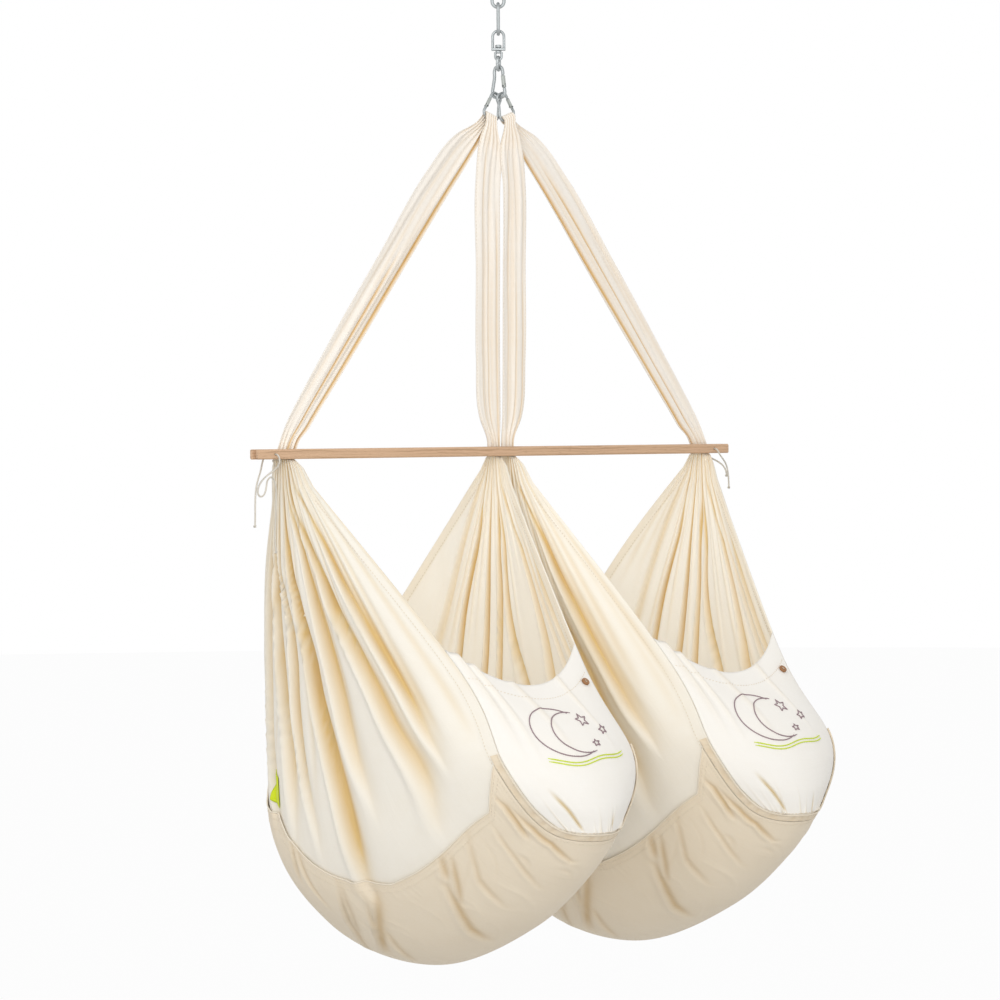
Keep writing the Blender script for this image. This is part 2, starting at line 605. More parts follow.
def two_sided(name, outer, inner, material, coordinates=None, outer_tint=None, inner_tint=None,
              through_light=None):
    """A closed sheet from two equal grids of points, outer and inner."""
    rows, columns = outer.shape[:2]
    count = rows * columns
    index = np.arange(count).reshape(rows, columns)
    a, b, c, d = index[:-1, :-1], index[:-1, 1:], index[1:, 1:], index[1:, :-1]
    top = np.stack([a, b, c, d], axis=-1).reshape(-1, 4)
    bottom = np.stack([a, d, c, b], axis=-1).reshape(-1, 4) + count
    rim = np.concatenate([index[0, :], index[1:, -1], index[-1, -2::-1], index[-2:0:-1, 0]])
    following = np.roll(rim, -1)
    wall = np.stack([following, rim, rim + count, following + count], axis=-1)
    vertices = np.concatenate([outer.reshape(-1, 3), inner.reshape(-1, 3)])
    faces = np.concatenate([top, bottom, wall])
    corners = vertices[faces]
    areas = np.cross(corners[:, 2] - corners[:, 0], corners[:, 3] - corners[:, 1])
    if (areas * corners[:, 0]).sum() < 0:
        faces = faces[:, ::-1]
    piece = new_piece(name, vertices, faces.tolist(), material)
    if coordinates is not None:
        flat = coordinates.reshape(-1, 2)
        tints = [np.zeros(count) if t is None else t.ravel() for t in (outer_tint, inner_tint)]
        lit = np.zeros(count) if through_light is None else through_light.ravel()
        set_threads(piece, np.concatenate([flat, flat]), np.concatenate(tints),
                    np.concatenate([lit, np.ones(count)]))
    return piece


def sheet_area(points):
    a = points[1:, 1:] - points[:-1, :-1]
    b = points[1:, :-1] - points[:-1, 1:]
    return float(np.linalg.norm(np.cross(a, b), axis=-1).sum() / 2)


def tube(name, path, diameter, material, sides=8, closed=False, taper=None):
    """A round wire or cord along a path, with thread coordinates along its length."""
    path = np.asarray(path, float)
    count = len(path)
    if closed:
        tangent = np.roll(path, -1, axis=0) - np.roll(path, 1, axis=0)
    else:
        tangent = np.gradient(path, axis=0)
    tangent /= np.linalg.norm(tangent, axis=1, keepdims=True)
    start = np.cross(tangent[0], [0.13, 0.27, 0.95])
    across = [start / np.linalg.norm(start)]
    for i in range(1, count):
        turned = across[-1] - tangent[i] * np.dot(across[-1], tangent[i])
        across.append(turned / np.linalg.norm(turned))
    across = np.array(across)
    if closed:
        end = across[-1] - tangent[0] * np.dot(across[-1], tangent[0])
        end /= np.linalg.norm(end)
        twist = math.atan2(np.dot(np.cross(end, across[0]), tangent[0]), np.dot(end, across[0]))
        turns = np.arange(count) / count * twist
        sideways = np.cross(tangent, across)
        across = across * np.cos(turns)[:, None] + sideways * np.sin(turns)[:, None]
    upward = np.cross(tangent, across)
    radius = np.full(count, diameter / 2) if taper is None else np.asarray(taper) * diameter / 2
    angles = np.arange(sides) / sides * 2 * math.pi
    ring = across[:, None] * np.cos(angles)[None, :, None] + upward[:, None] * np.sin(angles)[None, :, None]
    vertices = (path[:, None] + ring * radius[:, None, None]).reshape(-1, 3)
    faces = []
    for i in range(count if closed else count - 1):
        following = (i + 1) % count
        for j in range(sides):
            k = (j + 1) % sides
            faces.append((i * sides + j, i * sides + k, following * sides + k, following * sides + j))
    if not closed:
        faces.append(tuple(range(sides - 1, -1, -1)))
        faces.append(tuple(range((count - 1) * sides, count * sides)))
    piece = new_piece(name, vertices, faces, material)
    share = np.stack(np.broadcast_arrays(lengths_along(path)[:, None] / diameter, angles[None] / 6.283 * 3),
                     axis=-1)
    set_threads(piece, share.reshape(-1, 2))
    return piece


def smooth_path(points, step):
    """Smooth curve through the points, resampled at about the given step."""
    points = np.asarray(points, float)
    keys = np.concatenate([[0], np.cumsum(np.linalg.norm(np.diff(points, axis=0), axis=1) ** 0.5)])
    dense = curve_at(keys, points, np.linspace(0, keys[-1], len(points) * 16))
    run = lengths_along(dense)
    count = max(2, round(run[-1] / step) + 1)
    places = np.linspace(0, run[-1], count)
    return resampled(dense, run, places)


def overhand_knot(name, centre):
    """A small pulled-tight knot at the end of a tie cord."""
    turns = np.linspace(0, 2 * math.pi, 40, endpoint=False)
    size = CORD_DIAMETER * 0.62
    loop = np.stack([
        (np.sin(turns) + 2 * np.sin(2 * turns)) * 0.34,
        (np.cos(turns) - 2 * np.cos(2 * turns)) * 0.34,
        -np.sin(3 * turns) * 0.7,
    ], axis=1)
    return tube(name, centre + loop * size, CORD_DIAMETER * 0.7, finish("cord"), closed=True)


def joined(name, pieces):
    """Joins pieces into one."""
    select_only(pieces[0])
    for piece in pieces[1:]:
        piece.select_set(True)
    if len(pieces) > 1:
        bpy.ops.object.join()
    piece = bpy.context.view_layer.objects.active
    piece.name = name
    return piece


def settled(piece):
    """Puts a piece's place into its mesh."""
    select_only(piece)
    bpy.ops.object.transform_apply(location=True, rotation=True, scale=True)
    return piece


def finished(piece, body, slot, *nodes):
    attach(piece, body)
    if nodes:
        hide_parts(*nodes)
    return piece


def stitches(name, rows, material, length=0.0044, width=0.0013):
    """Running stitches along rows of points and normals: each stitch is a small thread that dips in at
    both ends."""
    vertices, faces = [], []
    for points, normals in rows:
        points, normals = np.asarray(points, float), np.asarray(normals, float)
        run = lengths_along(points)
        starts = np.arange(0.001, run[-1] - length, length + STITCH_GAP)
        for begin in starts:
            places = begin + length * np.array([0, 0.22, 0.5, 0.78, 1.0])
            centre, normal = resampled(points, run, places), resampled(normals, run, places)
            normal /= np.linalg.norm(normal, axis=1, keepdims=True)
            along = centre[-1] - centre[0]
            across = np.cross(normal, along / max(np.linalg.norm(along), 1e-9))
            centre = centre + normal * (np.array([-0.35, 0.2, 0.38, 0.2, -0.35]) * width)[:, None]
            sizes = np.array([0.35, 0.8, 1.0, 0.8, 0.35]) * width / 2
            first = len(vertices)
            for c, n, x, r in zip(centre, normal, across, sizes):
                for angle in (0.0, 1.5708, 3.1416, 4.7124):
                    vertices.append(c + x * r * math.cos(angle) + n * r * math.sin(angle))
            for ring in range(4):
                for j in range(4):
                    k = (j + 1) % 4
                    base = first + ring * 4
                    faces.append((base + j, base + 4 + j, base + 4 + k, base + k))
            faces.append((first, first + 1, first + 2, first + 3))
            faces.append((first + 19, first + 18, first + 17, first + 16))
    return new_piece(name, vertices, faces, material)


# The look of each finish, made once and shared
finishes = {}


def finish(name):
    makers = {
        "cotton": lambda: cloth_material("cream_cotton", "F5F0E5", "DDC086", glow=0.1),
        "strap_cotton": lambda: cloth_material("strap_cotton", "FBF5EC", "DDB673", weave=180.0, bump=0.05),
        "base_cotton": lambda: cloth_material("base_cotton", "F2E6D1", "CEAF7C", fold_strength=0.8),
        "panel_cotton": lambda: cloth_material("panel_cotton", "F8F5EF", "DCC79C", bump=0.2),
        "piping": lambda: cloth_material("piping_cotton", "EFE5D3", "DCC29C", bump=0.1),
        "wadding": lambda: cloth_material("mattress_cover", "F3EEE4", "D9C4A0", weave=700.0),
        "hem_thread": lambda: thread_material("cream_thread", "EFE2CB"),
        "mauve_thread": lambda: thread_material("mauve_thread", "9A8288"),
        "lime_thread": lambda: thread_material("lime_thread", "D9EC10"),
        "cord": lambda: cord_material("tie_cord_cotton", "F6F1E6"),
        "beech": lambda: wood_material("oiled_beech", "D2AD8C", "A27C5C"),
        "button_wood": lambda: wood_material("button_wood", "96602C", "63330F", 380.0, (40.0, 160.0, 160.0)),
        "steel": lambda: steel_material("zinc_steel", "B9BEBF"),
        "gate_steel": lambda: steel_material("gate_steel", "C6CAC4", 0.36),
        "dark_steel": lambda: steel_material("rivet_steel", "55585A", 0.4),
        "lime": lambda: cloth_material("lime_ribbon", "D6E31A", "9FA80F", fold_strength=0.4),
    }
    if name not in finishes:
        finishes[name] = makers[name]()
    return finishes[name]


class CradleSizes(bpy.types.PropertyGroup):
    """Sizes that a user may want to change."""

    stitch_length: FloatProperty(
        name="Stitch length", description="Length of one running stitch",
        default=0.0044, min=0.001, max=0.01, subtype="DISTANCE", unit="LENGTH")
    embroidery_thread: FloatProperty(
        name="Embroidery thread", description="Thickness of the embroidery thread",
        default=0.0021, min=0.0004, max=0.003, subtype="DISTANCE", unit="LENGTH")
    floor_drop: FloatProperty(
        name="Floor below the bar", description="Distance from the spreader bar to the floor",
        default=1.4, min=1.0, max=3.0, subtype="DISTANCE", unit="LENGTH")


class CradleLights(bpy.types.PropertyGroup):
    """Lighting of the stage."""

    key_power: FloatProperty(
        name="Key light", description="Power of the large light at the left front",
        default=42.0, min=0.0, max=1000.0, subtype="POWER", unit="POWER")
    fill_power: FloatProperty(
        name="Fill light", description="Power of the light beside the camera",
        default=44.0, min=0.0, max=1000.0, subtype="POWER", unit="POWER")
    world_colour: FloatVectorProperty(
        name="Surroundings", description="Colour of the light from all around",
        default=(0.8, 0.8, 0.8), min=0.0, max=1.0, size=3, subtype="COLOR")


def add_camera(scene):
    place = (CAMERA_DISTANCE * math.sin(CAMERA_TURN), -CAMERA_DISTANCE * math.cos(CAMERA_TURN),
             BAR_Z + CAMERA_RISE)
    bpy.ops.object.camera_add(location=place, rotation=(math.pi / 2, CAMERA_ROLL, CAMERA_TURN))
    camera = bpy.context.object
    camera.data.lens = CAMERA_LENS
    camera.data.shift_x, camera.data.shift_y = CAMERA_SHIFT
    camera.data.clip_end = 60
    scene.camera = camera


def add_lamp(name, spot, size, power):
    """Square light that faces the cradles."""
    bpy.ops.object.light_add(type="AREA", location=spot)
    lamp = bpy.context.object
    lamp.name = name
    lamp.data.size = size
    lamp.data.energy = power
    aim = Vector((0, 0, BAR_Z - AIM_BELOW_BAR)) - Vector(spot)
    lamp.rotation_euler = aim.to_track_quat("-Z", "Y").to_euler()


class CRADLE_OT_stage(bpy.types.Operator):
    """Adds the camera, the lights, the floor and the backdrop"""

    bl_idname = "cradle.stage"
    bl_label = "Stage"

    def execute(self, context):
        scene = context.scene
        add_camera(scene)
        lights = scene.cradle_lights
        add_lamp("key_light", (-4.0, -2.2, BAR_Z + 2.2), 1.3, lights.key_power)
        add_lamp("fill_light", (-2.6, -4.6, BAR_Z + 0.8), 2.4, lights.fill_power)
        world = bpy.data.worlds.new("studio")
        world.use_nodes = True
        world.node_tree.nodes["Background"].inputs[0].default_value = (*lights.world_colour, 1)
        scene.world = world
        scene.view_settings.view_transform = "Standard"
        floor_z = BAR_Z - scene.cradle_sizes.floor_drop
        floor = add_primitive("plane", "floor", stage_material("floor_white", 0.95), size=40,
                              location=(0, 0, floor_z))
        settled(floor)
        wall = add_primitive("cylinder", "backdrop", stage_material("backdrop_white", 1.0), vertices=96,
                             radius=18, depth=26, end_fill_type="NOTHING", location=(0, 0, floor_z + 13))
        settled(wall)
        bpy.ops.object.mode_set(mode="EDIT")
        bpy.ops.mesh.select_all(action="SELECT")
        bpy.ops.mesh.flip_normals()
        leave_edit()
        wall.visible_diffuse = False
        wall.visible_shadow = False
        return {"FINISHED"}


class CRADLE_OT_tie_cords(bpy.types.Operator):
    """Adds the two cotton cords that close the bar's forked ends, with a knot at each tail"""

    bl_idname = "cradle.tie_cords"
    bl_label = "Tie cords"

    def execute(self, context):
        for name, side, route in (("left", -1, LEFT_TIE_ROUTE), ("right", 1, RIGHT_TIE_ROUTE)):
            path = smooth_path(np.array(route) / 1000 + (side * TIE_HOLE, 0, BAR_Z), 0.0016)
            in_bar = np.abs(path[:, 2] - BAR_Z) < 0.002
            middle = int(np.argmin(np.where(in_bar, np.abs(path[:, 1]), 1)))
            for tail, run in (("front", path[middle::-1]), ("back", path[middle:])):
                cord = tube(f"{name}_{tail}_tie", run, CORD_DIAMETER, finish("cord"), sides=10)
                knot = overhand_knot(f"{name}_{tail}_knot", run[-2])
                solids = [name + "_tie_cord"] if tail == "front" else []
                finished(cord, "suspension", "cord_cotton", *solids)
                finished(knot, "suspension", "cord_cotton")
        return {"FINISHED"}


# Parts of the cradle, as places on its cloth
BASE_ACROSS = (0.59 / COLUMNS, 21 / COLUMNS)
BED_ACROSS = (9 / COLUMNS, 22 / COLUMNS)
BED_ALONG = 0.31
BAND_ACROSS = 0.55 / COLUMNS
BAND_ALONG = 0.54
TAB_ACROSS = (15.05 / COLUMNS, 15.95 / COLUMNS)
TAB_ALONG = (-0.622, -0.57)
MATTRESS_FOOT = 0.026
MATTRESS_HEAD = 0.088
PANEL_MIDDLE_SHARES = np.array([
    [0, -0.989, -0.709], [0, -0.993, -0.66], [0, -0.955, -0.597], [0, -0.86, -0.525], [0, -0.66, -0.443],
])
PANEL_SEAM_SHARE = 0.22
PANEL_CORNER_SHARE = 0.78
HEM_WIDTH = 0.022

# Half thickness of the cloth and what its hems add to it, in metres
CLOTH_HALF = 0.0008
HEM_HALF = 0.0006

# Heights of the sewn-on layers over the middle of the cloth, and depth of the bed under it, in metres
BASE_LIFT = 0.0034
BAND_LIFT = 0.0031
TAB_LIFT = 0.0029
BED_DROP = 0.0017
LAYER_CLOTH = 0.0009
PIPING = 0.0022
BED_PIPING = 0.0042


def span(low, high, count):
    return np.linspace(low, high, count)


def wrinkle_field(across, along, seed, marks):
    """Soft creases at seeded places: each mark gives the number, the range of places across and along,
    the direction, the half length, the half width and the height."""
    rng = random.Random(seed)
    x, y = across * 1.9, along * 1.2
    field = np.zeros_like(x)
    for count, (x0, x1), (y0, y1), (turn0, turn1), (long0, long1), (wide0, wide1), (high0, high1) in marks:
        for _ in range(count):
            cx, cy = rng.uniform(x0, x1) * 1.9, rng.uniform(y0, y1) * 1.2
            turn = math.radians(rng.uniform(turn0, turn1))
            half, wide, high = rng.uniform(long0, long1), rng.uniform(wide0, wide1), rng.uniform(high0, high1)
            run = (x - cx) * math.cos(turn) + (y - cy) * math.sin(turn)
            off = (y - cy) * math.cos(turn) - (x - cx) * math.sin(turn) + 0.25 * run**2 / half
            field += high * np.exp(-((run / half) ** 2) - (off / wide) ** 2)
    return field


def threads_of(points):
    """Thread coordinates in metres for a grid of points, from its middle row and column."""
    rows, columns = points.shape[:2]
    u = lengths_along(points[:, columns // 2])
    v = lengths_along(points[rows // 2])
    return np.stack(np.meshgrid(u, v, indexing="ij"), axis=-1)


def longest(points):
    """Longest row and column of a grid of points."""
    down = np.linalg.norm(np.diff(points, axis=0), axis=-1).sum(axis=0).max()
    over = np.linalg.norm(np.diff(points, axis=1), axis=-1).sum(axis=1).max()
    return down, over


def declare_sheet(points):
    """Declares a sheet by the flat size that its grid of points unrolls to."""
    width, length = longest(points)
    min(sheet_area(points), width * length)


def edge_distance(points):
    """Distance of each point of a grid from the nearer of its first and last rows."""
    steps = np.linalg.norm(np.diff(points, axis=0), axis=-1)
    run = np.concatenate([np.zeros((1, points.shape[1])), np.cumsum(steps, axis=0)])
    return np.minimum(run, run[-1] - run)


def hem_line(points, normals, inset, foot):
    """The line of points that lies at an inset from one edge of a grid."""
    run = np.linalg.norm(np.diff(points, axis=0), axis=-1)
    order = slice(None) if foot else slice(None, None, -1)
    run = np.concatenate([np.zeros((1, points.shape[1])), np.cumsum(run[order], axis=0)])
    columns = range(points.shape[1])
    return tuple(
        np.concatenate([resampled(values[order][:, j], run[:, j], [inset]) for j in columns])
        for values in (points, normals)
    )


def gather_crown(points):
    """Height of the rounded gather at each point's place across the bar."""
    return GATHER_Z + np.sqrt(np.maximum(GATHER_CROWN**2 - points[..., 1] ** 2, 0))


def cradle_cloth(name, side):
    """The big hammock cloth, gathered at both ends, with folds, fine pleats and rolled hems."""
    along = np.concatenate([span(-1, -0.84, 23), span(-0.84, 0.84, 99)[1:-1], span(0.84, 1, 23)])
    grid = sheet_grid(side, span(0, 1, 337), along)
    points = grid["point"]
    near_end = smoothstep(np.abs(grid["along"]), 0.97, 1)
    points[..., 2] += (gather_crown(points) - points[..., 2]) * near_end
    edge = edge_distance(points)
    thick = CLOTH_HALF + HEM_HALF * (1 - smoothstep(edge, HEM_WIDTH - 0.002, HEM_WIDTH))
    facing = 0.17 * (1 - smoothstep(edge, HEM_WIDTH - 0.002, HEM_WIDTH + 0.001))
    grid["inner_tint"] = np.maximum(grid["inner_tint"], facing)
    outer, inner = layer(grid, thick), layer(grid, -thick)
    for surface in (outer, inner):
        capped = np.minimum(surface[..., 2], gather_crown(surface))
        surface[..., 2] = np.where(near_end > 0, capped, surface[..., 2])
    near_other = smoothstep(-side * grid["along"], 0.6, 0.95) * 0.8
    piece = two_sided(name + "_cloth", outer, inner, finish("cotton"), threads_of(points),
                      grid["outer_tint"], grid["inner_tint"], near_other)
    rows = []
    for foot in (True, False):
        for surface, sign in ((outer, 1), (inner, -1)):
            rows.append(hem_line(surface[:, 6:-6], sign * grid["normal"][:, 6:-6], HEM_WIDTH - 0.0035, foot))
    return piece, points, rows


# Creases of the base layer: places across and along, then half width across and depth in metres
BASE_CREASES = [
    ([(0.3, -0.33), (0.32, -0.267), (0.353, -0.167), (0.367, -0.087)], 0.007, 0.0065),
    ([(0.253, -0.378), (0.28, -0.322), (0.31, -0.264)], 0.006, 0.0045),
    ([(0.267, -0.4), (0.287, -0.344)], 0.008, 0.004),
    ([(0.413, -0.41), (0.43, -0.37), (0.477, -0.29), (0.533, -0.177)], 0.0085, 0.0065),
    ([(0.463, -0.298), (0.483, -0.211), (0.503, -0.109)], 0.006, 0.003),
    ([(0.47, -0.45), (0.523, -0.332), (0.587, -0.143)], 0.006, 0.0035),
    ([(0.435, -0.4), (0.46, -0.347), (0.527, -0.164)], 0.005, 0.003),
    ([(0.077, -0.42), (0.07, -0.394), (0.073, -0.335), (0.085, -0.28)], 0.009, 0.0055),
    ([(0.055, -0.36), (0.05, -0.288), (0.06, -0.195), (0.103, -0.09)], 0.008, 0.006),
    ([(0.2, -0.39), (0.25, -0.279), (0.27, -0.161)], 0.006, 0.0025),
    ([(0.555, -0.54), (0.553, -0.45), (0.543, -0.381)], 0.006, 0.003),
    ([(0.57, -0.54), (0.573, -0.5), (0.587, -0.44)], 0.007, 0.003),
    ([(0.463, -0.45), (0.493, -0.366), (0.543, -0.257)], 0.005, 0.0025),
    ([(0.14, -0.36), (0.16, -0.25), (0.2, -0.12)], 0.006, 0.0022),
    ([(0.07, 0.4), (0.09, 0.3), (0.13, 0.18)], 0.008, 0.005),
    ([(0.2, 0.37), (0.22, 0.27), (0.25, 0.15)], 0.008, 0.004),
    ([(0.42, 0.4), (0.44, 0.3), (0.5, 0.17)], 0.008, 0.0055),
    ([(0.56, 0.5), (0.57, 0.4), (0.6, 0.27)], 0.008, 0.004),
]
CREASE_TIGHTNESS = 0.72


def crease_field(across, along, creases):
    """Sum of creases that follow given places and fade at both ends: height, and the deepest share."""
    height = np.zeros_like(across)
    deepest = np.zeros_like(across)
    for places, wide, deep in creases:
        xs, ys = np.array(places).T
        order = np.argsort(ys)
        centre = np.interp(along, ys[order], xs[order])
        ease = (ys.max() - ys.min()) * 0.35
        fade = smoothstep(along, ys.min() - ease * 0.6, ys.min() + ease)
        fade = fade * (1 - smoothstep(along, ys.max() - ease, ys.max() + ease * 0.6))
        off = (across - centre) / (wide * CREASE_TIGHTNESS)
        groove = np.exp(-(off**2)) * fade
        height += deep * (0.55 * np.exp(-(((off - 2.0) / 1.5) ** 2)) * fade - groove)
        fold_side = np.exp(-np.abs(off / np.where(off > 0, 0.9, 1.9)) ** 1.5) * fade
        deepest = np.maximum(deepest, fold_side * min(1, deep / 0.0055))
    return height, deepest


def base_layer(name, side):
    """Second layer of cloth under the bed, creased under its load, with a sewn and corded top edge."""
    across, share = np.meshgrid(span(*BASE_ACROSS, 241), span(-1, 1, 181), indexing="ij")
    grid = sheet_points(side, across, share * base_top(across))
    x, y = grid["across"], grid["along"]
    field = wrinkle_field(x, y, 5, [
        (10, (0.06, 0.34), (-0.38, -0.05), (40, 80), (0.03, 0.1), (0.005, 0.012), (-0.0016, 0.0016)),
        (10, (0.06, 0.34), (0.05, 0.38), (-80, -40), (0.03, 0.1), (0.005, 0.012), (-0.0016, 0.0016)),
        (14, (0.2, 0.86), (-0.42, -0.2), (60, 115), (0.03, 0.1), (0.004, 0.010), (-0.0014, 0.0014)),
        (14, (0.2, 0.86), (0.2, 0.42), (65, 120), (0.03, 0.1), (0.004, 0.010), (-0.0014, 0.0014)),
    ])
    drawn, deepest = crease_field(x, y, BASE_CREASES)
    rim = np.minimum((1 - np.abs(share)) / 0.06, np.minimum(x - BASE_ACROSS[0], BASE_ACROSS[1] - x) / 0.025)
    rim = smoothstep(rim, 0, 1)
    gathers = 0.0007 * np.sin(x * 330 + 3 * np.sin(x * 41)) * smoothstep(np.abs(share), 0.8, 0.9)
    lift = BASE_LIFT + (field + drawn + np.abs(gathers)) * (0.25 + 0.75 * rim)
    lift = np.maximum(lift, 0.0011)
    points = layer(grid, lift)
    tint = np.clip(0.12 + 0.85 * deepest + np.clip(-field, 0, 1) * 90, 0, 1)
    surface = layer(grid, lift + LAYER_CLOTH)
    piece = two_sided(name + "_base", surface, points, finish("base_cotton"), threads_of(points),
                      tint, tint * 0)
    normal = grid["normal"]
    rows = [(surface[3:-3, column], normal[3:-3, column]) for column in (2, 5, -3, -6)]
    rows += [(surface[row, 4:-4], normal[row, 4:-4]) for row in (3, -4)]
    edges = []
    for k, column in enumerate((0, -1)):
        line = surface[:, column] + normal[:, column] * 0.0002
        edges.append(tube(f"edge_{k}", line, PIPING, finish("piping")))
    return piece, points, rows, joined(name + "_base_piping", edges)


def mattress(name, side):
    """Soft mattress that follows the bed: crowned, thinner round its edge, with sewn channels."""
    across, along = span(*BED_ACROSS, 121), span(-BED_ALONG, BED_ALONG, 121)
    grid = sheet_grid(side, across, along)
    s, t = np.meshgrid(span(0, 1, 121), span(0, 1, 121), indexing="ij")
    rim = np.minimum.reduce([s, 1 - s, t, 1 - t])
    crown = 0.45 + 0.55 * np.sqrt(np.clip(smoothstep(rim, 0, 0.14), 0, 1))
    lines = sum(np.exp(-(((s - k / 5) / 0.008) ** 2)) for k in range(1, 5))
    puff = 1 + 0.07 * np.abs(np.sin(s * 5 * math.pi)) ** 0.7 - 0.13 * lines
    thickness = (MATTRESS_FOOT + (MATTRESS_HEAD - MATTRESS_FOOT) * s) * crown * (0.93 * puff)
    edge = 1 - smoothstep(rim, 0, 0.02)
    thickness *= 1 - 0.3 * edge
    bottom = -BED_DROP - 0.2 * thickness * edge
    top = layer(grid, -BED_DROP - thickness)
    piece = two_sided(name + "_bed", layer(grid, bottom), top, finish("wadding"),
                      threads_of(grid["point"]), lines * 0.4, lines * 0)
    normal = grid["normal"]
    rows = [(top[row, 6:-6] - normal[row, 6:-6] * 0.0002, -normal[row, 6:-6]) for row in (24, 48, 72, 96)]
    rim_path = np.concatenate([top[0], top[1:, -1], top[-1, -2::-1], top[-2:0:-1, 0]])
    piping = tube(name + "_piping", rim_path[::2], BED_PIPING, finish("wadding"), closed=True)
    return piece, piping, rows


def hem_points(side, along):
    """Points on the cloth's foot hem at shares along its thread, moved just clear of the cloth."""
    zero = np.zeros_like(along)
    normal = cloth_normal(side, zero, along)
    point = cloth_point(side, zero, along)
    outwards = point - cloth_point(side, zero + 1 / COLUMNS, along)
    outwards -= normal * (outwards * normal).sum(axis=1, keepdims=True)
    outwards /= np.linalg.norm(outwards, axis=1, keepdims=True)
    return point + outwards * CLEARANCE * 3


def panel_grid(side):
    """Foot panel as a grid of points and normals, from its bottom seam to its top edge."""
    share = span(0, 1, 97)
    across = span(-1, 1, 145)
    seam = hem_points(side, across * PANEL_SEAM_SHARE)
    hem_share = PANEL_SEAM_SHARE + share * (PANEL_CORNER_SHARE - PANEL_SEAM_SHARE)
    edges = {hand: hem_points(side, hand * hem_share) for hand in (-1, 1)}
    centre = through(PANEL_MIDDLE_SHARES, share) * CRADLE_SIZE + (side * CRADLE_CENTRE, 0, BAR_Z)
    edge = np.where(across[None, :, None] < 0, edges[-1][:, None], edges[1][:, None])
    flat = np.abs(across)[None, :]
    full = (across**2)[None, :]
    spanned = np.stack([
        centre[:, None, 0] + (edge[..., 0] - centre[:, None, 0]) * flat,
        centre[:, None, 1] + (edge[..., 1] - centre[:, None, 1]) * full,
        centre[:, None, 2] + (edge[..., 2] - centre[:, None, 2]) * full,
    ], axis=-1)
    lift = smoothstep(share, -0.02, 0.25)[:, None, None]
    points = seam[None] + (spanned - seam[None]) * lift
    normal = np.cross(np.gradient(points, axis=1), np.gradient(points, axis=0))
    normal /= np.linalg.norm(normal, axis=-1, keepdims=True)
    return points, normal


# Folds of the foot panel. Slack at its top: place across, half width across, height in metres. Pinches
# at its bottom: first and last share up, places across at those, half width across, depth in metres.
PANEL_SLACK_FOLDS = [(-0.9, 0.05, 0.007), (-0.74, 0.04, 0.006), (-0.3, 0.05, 0.003), (0.42, 0.035, 0.003)]
PANEL_PINCHES = [(0.1, 0.34, -0.5, -0.66, 0.03, 0.006), (0.0, 0.18, 0.32, 0.22, 0.02, 0.003)]


def foot_panel(name, side):
    """Smooth panel across the foot end: gathered into its bottom seam, slack along its rolled top."""
    points, normal = panel_grid(side)
    s, t = np.meshgrid(span(0, 1, points.shape[0]), span(-1, 1, points.shape[1]), indexing="ij")
    rng = random.Random(77 + side)
    gathers = np.zeros_like(s)
    tint = np.zeros_like(s)
    for _ in range(15):
        centre, drift = rng.uniform(-0.9, 0.9), rng.uniform(-0.1, 0.1)
        wide, tall, high = rng.uniform(0.012, 0.03), rng.uniform(0.06, 0.2), rng.uniform(0.0015, 0.0045)
        fold = np.exp(-(((t - centre - drift * s) / wide) ** 2) - (s / tall) ** 2)
        gathers += fold * high
        tint = np.maximum(tint, fold * high / 0.006)
    for centre, wide, high in PANEL_SLACK_FOLDS:
        slack = np.exp(-(((t - centre - 0.3 * (1 - s)) / wide) ** 2)) * smoothstep(s, 0.5, 1)
        gathers += slack * high
        tint = np.maximum(tint, slack * 0.2)
    for low, high, from_t, to_t, wide, deep in PANEL_PINCHES:
        middle = from_t + (to_t - from_t) * (s - low) / (high - low)
        pinch = np.exp(-(((t - middle) / wide) ** 2)) * smoothstep(s, low - 0.06, low + 0.05)
        pinch *= 1 - smoothstep(s, high - 0.08, high + 0.06)
        gathers -= pinch * deep
        tint = np.maximum(tint, pinch)
    calm = smoothstep(1 - np.abs(t), 0, 0.06) * smoothstep(s, 0, 0.05)
    points = points + normal * (gathers * calm)[..., None]
    thick = 0.0007 + 0.0005 * smoothstep(s, 0.93, 0.94)
    outer, inner = points + normal * thick[..., None], points - normal * thick[..., None]
    piece = two_sided(name + "_panel", outer, inner, finish("panel_cotton"), threads_of(points),
                      tint, tint * 0.5)
    rows = [(outer[89, 2:-2], normal[89, 2:-2]), (outer[2, 1:-1], normal[2, 1:-1])]
    return piece, points, (outer, normal), rows


def foot_band(name, side):
    """Doubled band outside the cloth, under the panel's seam, gathered a little along its length."""
    grid = sheet_grid(side, span(0, BAND_ACROSS, 13), span(-BAND_ALONG, BAND_ALONG, 221))
    s, _ = np.meshgrid(span(0, 1, 13), span(0, 1, 221), indexing="ij")
    ripple = 0.0009 * np.sin(grid["along"] * 95 + 2 * np.sin(grid["along"] * 23)) * np.sin(s * math.pi)
    lift = BAND_LIFT + ripple
    points = layer(grid, lift)
    outer = layer(grid, lift + LAYER_CLOTH)
    tint = 0.25 + 0.2 * np.clip(-ripple / 0.0009, 0, 1)
    piece = two_sided(name + "_band", outer, layer(grid, lift - 0.0005), finish("base_cotton"),
                      threads_of(points), tint, tint)
    rows = [(outer[k, 1:-1], grid["normal"][k, 1:-1]) for k in (2, 11)]
    edge = outer[0] + grid["normal"][0] * 0.0002
    return piece, points, rows, tube(name + "_band_piping", edge, PIPING, finish("base_cotton"))


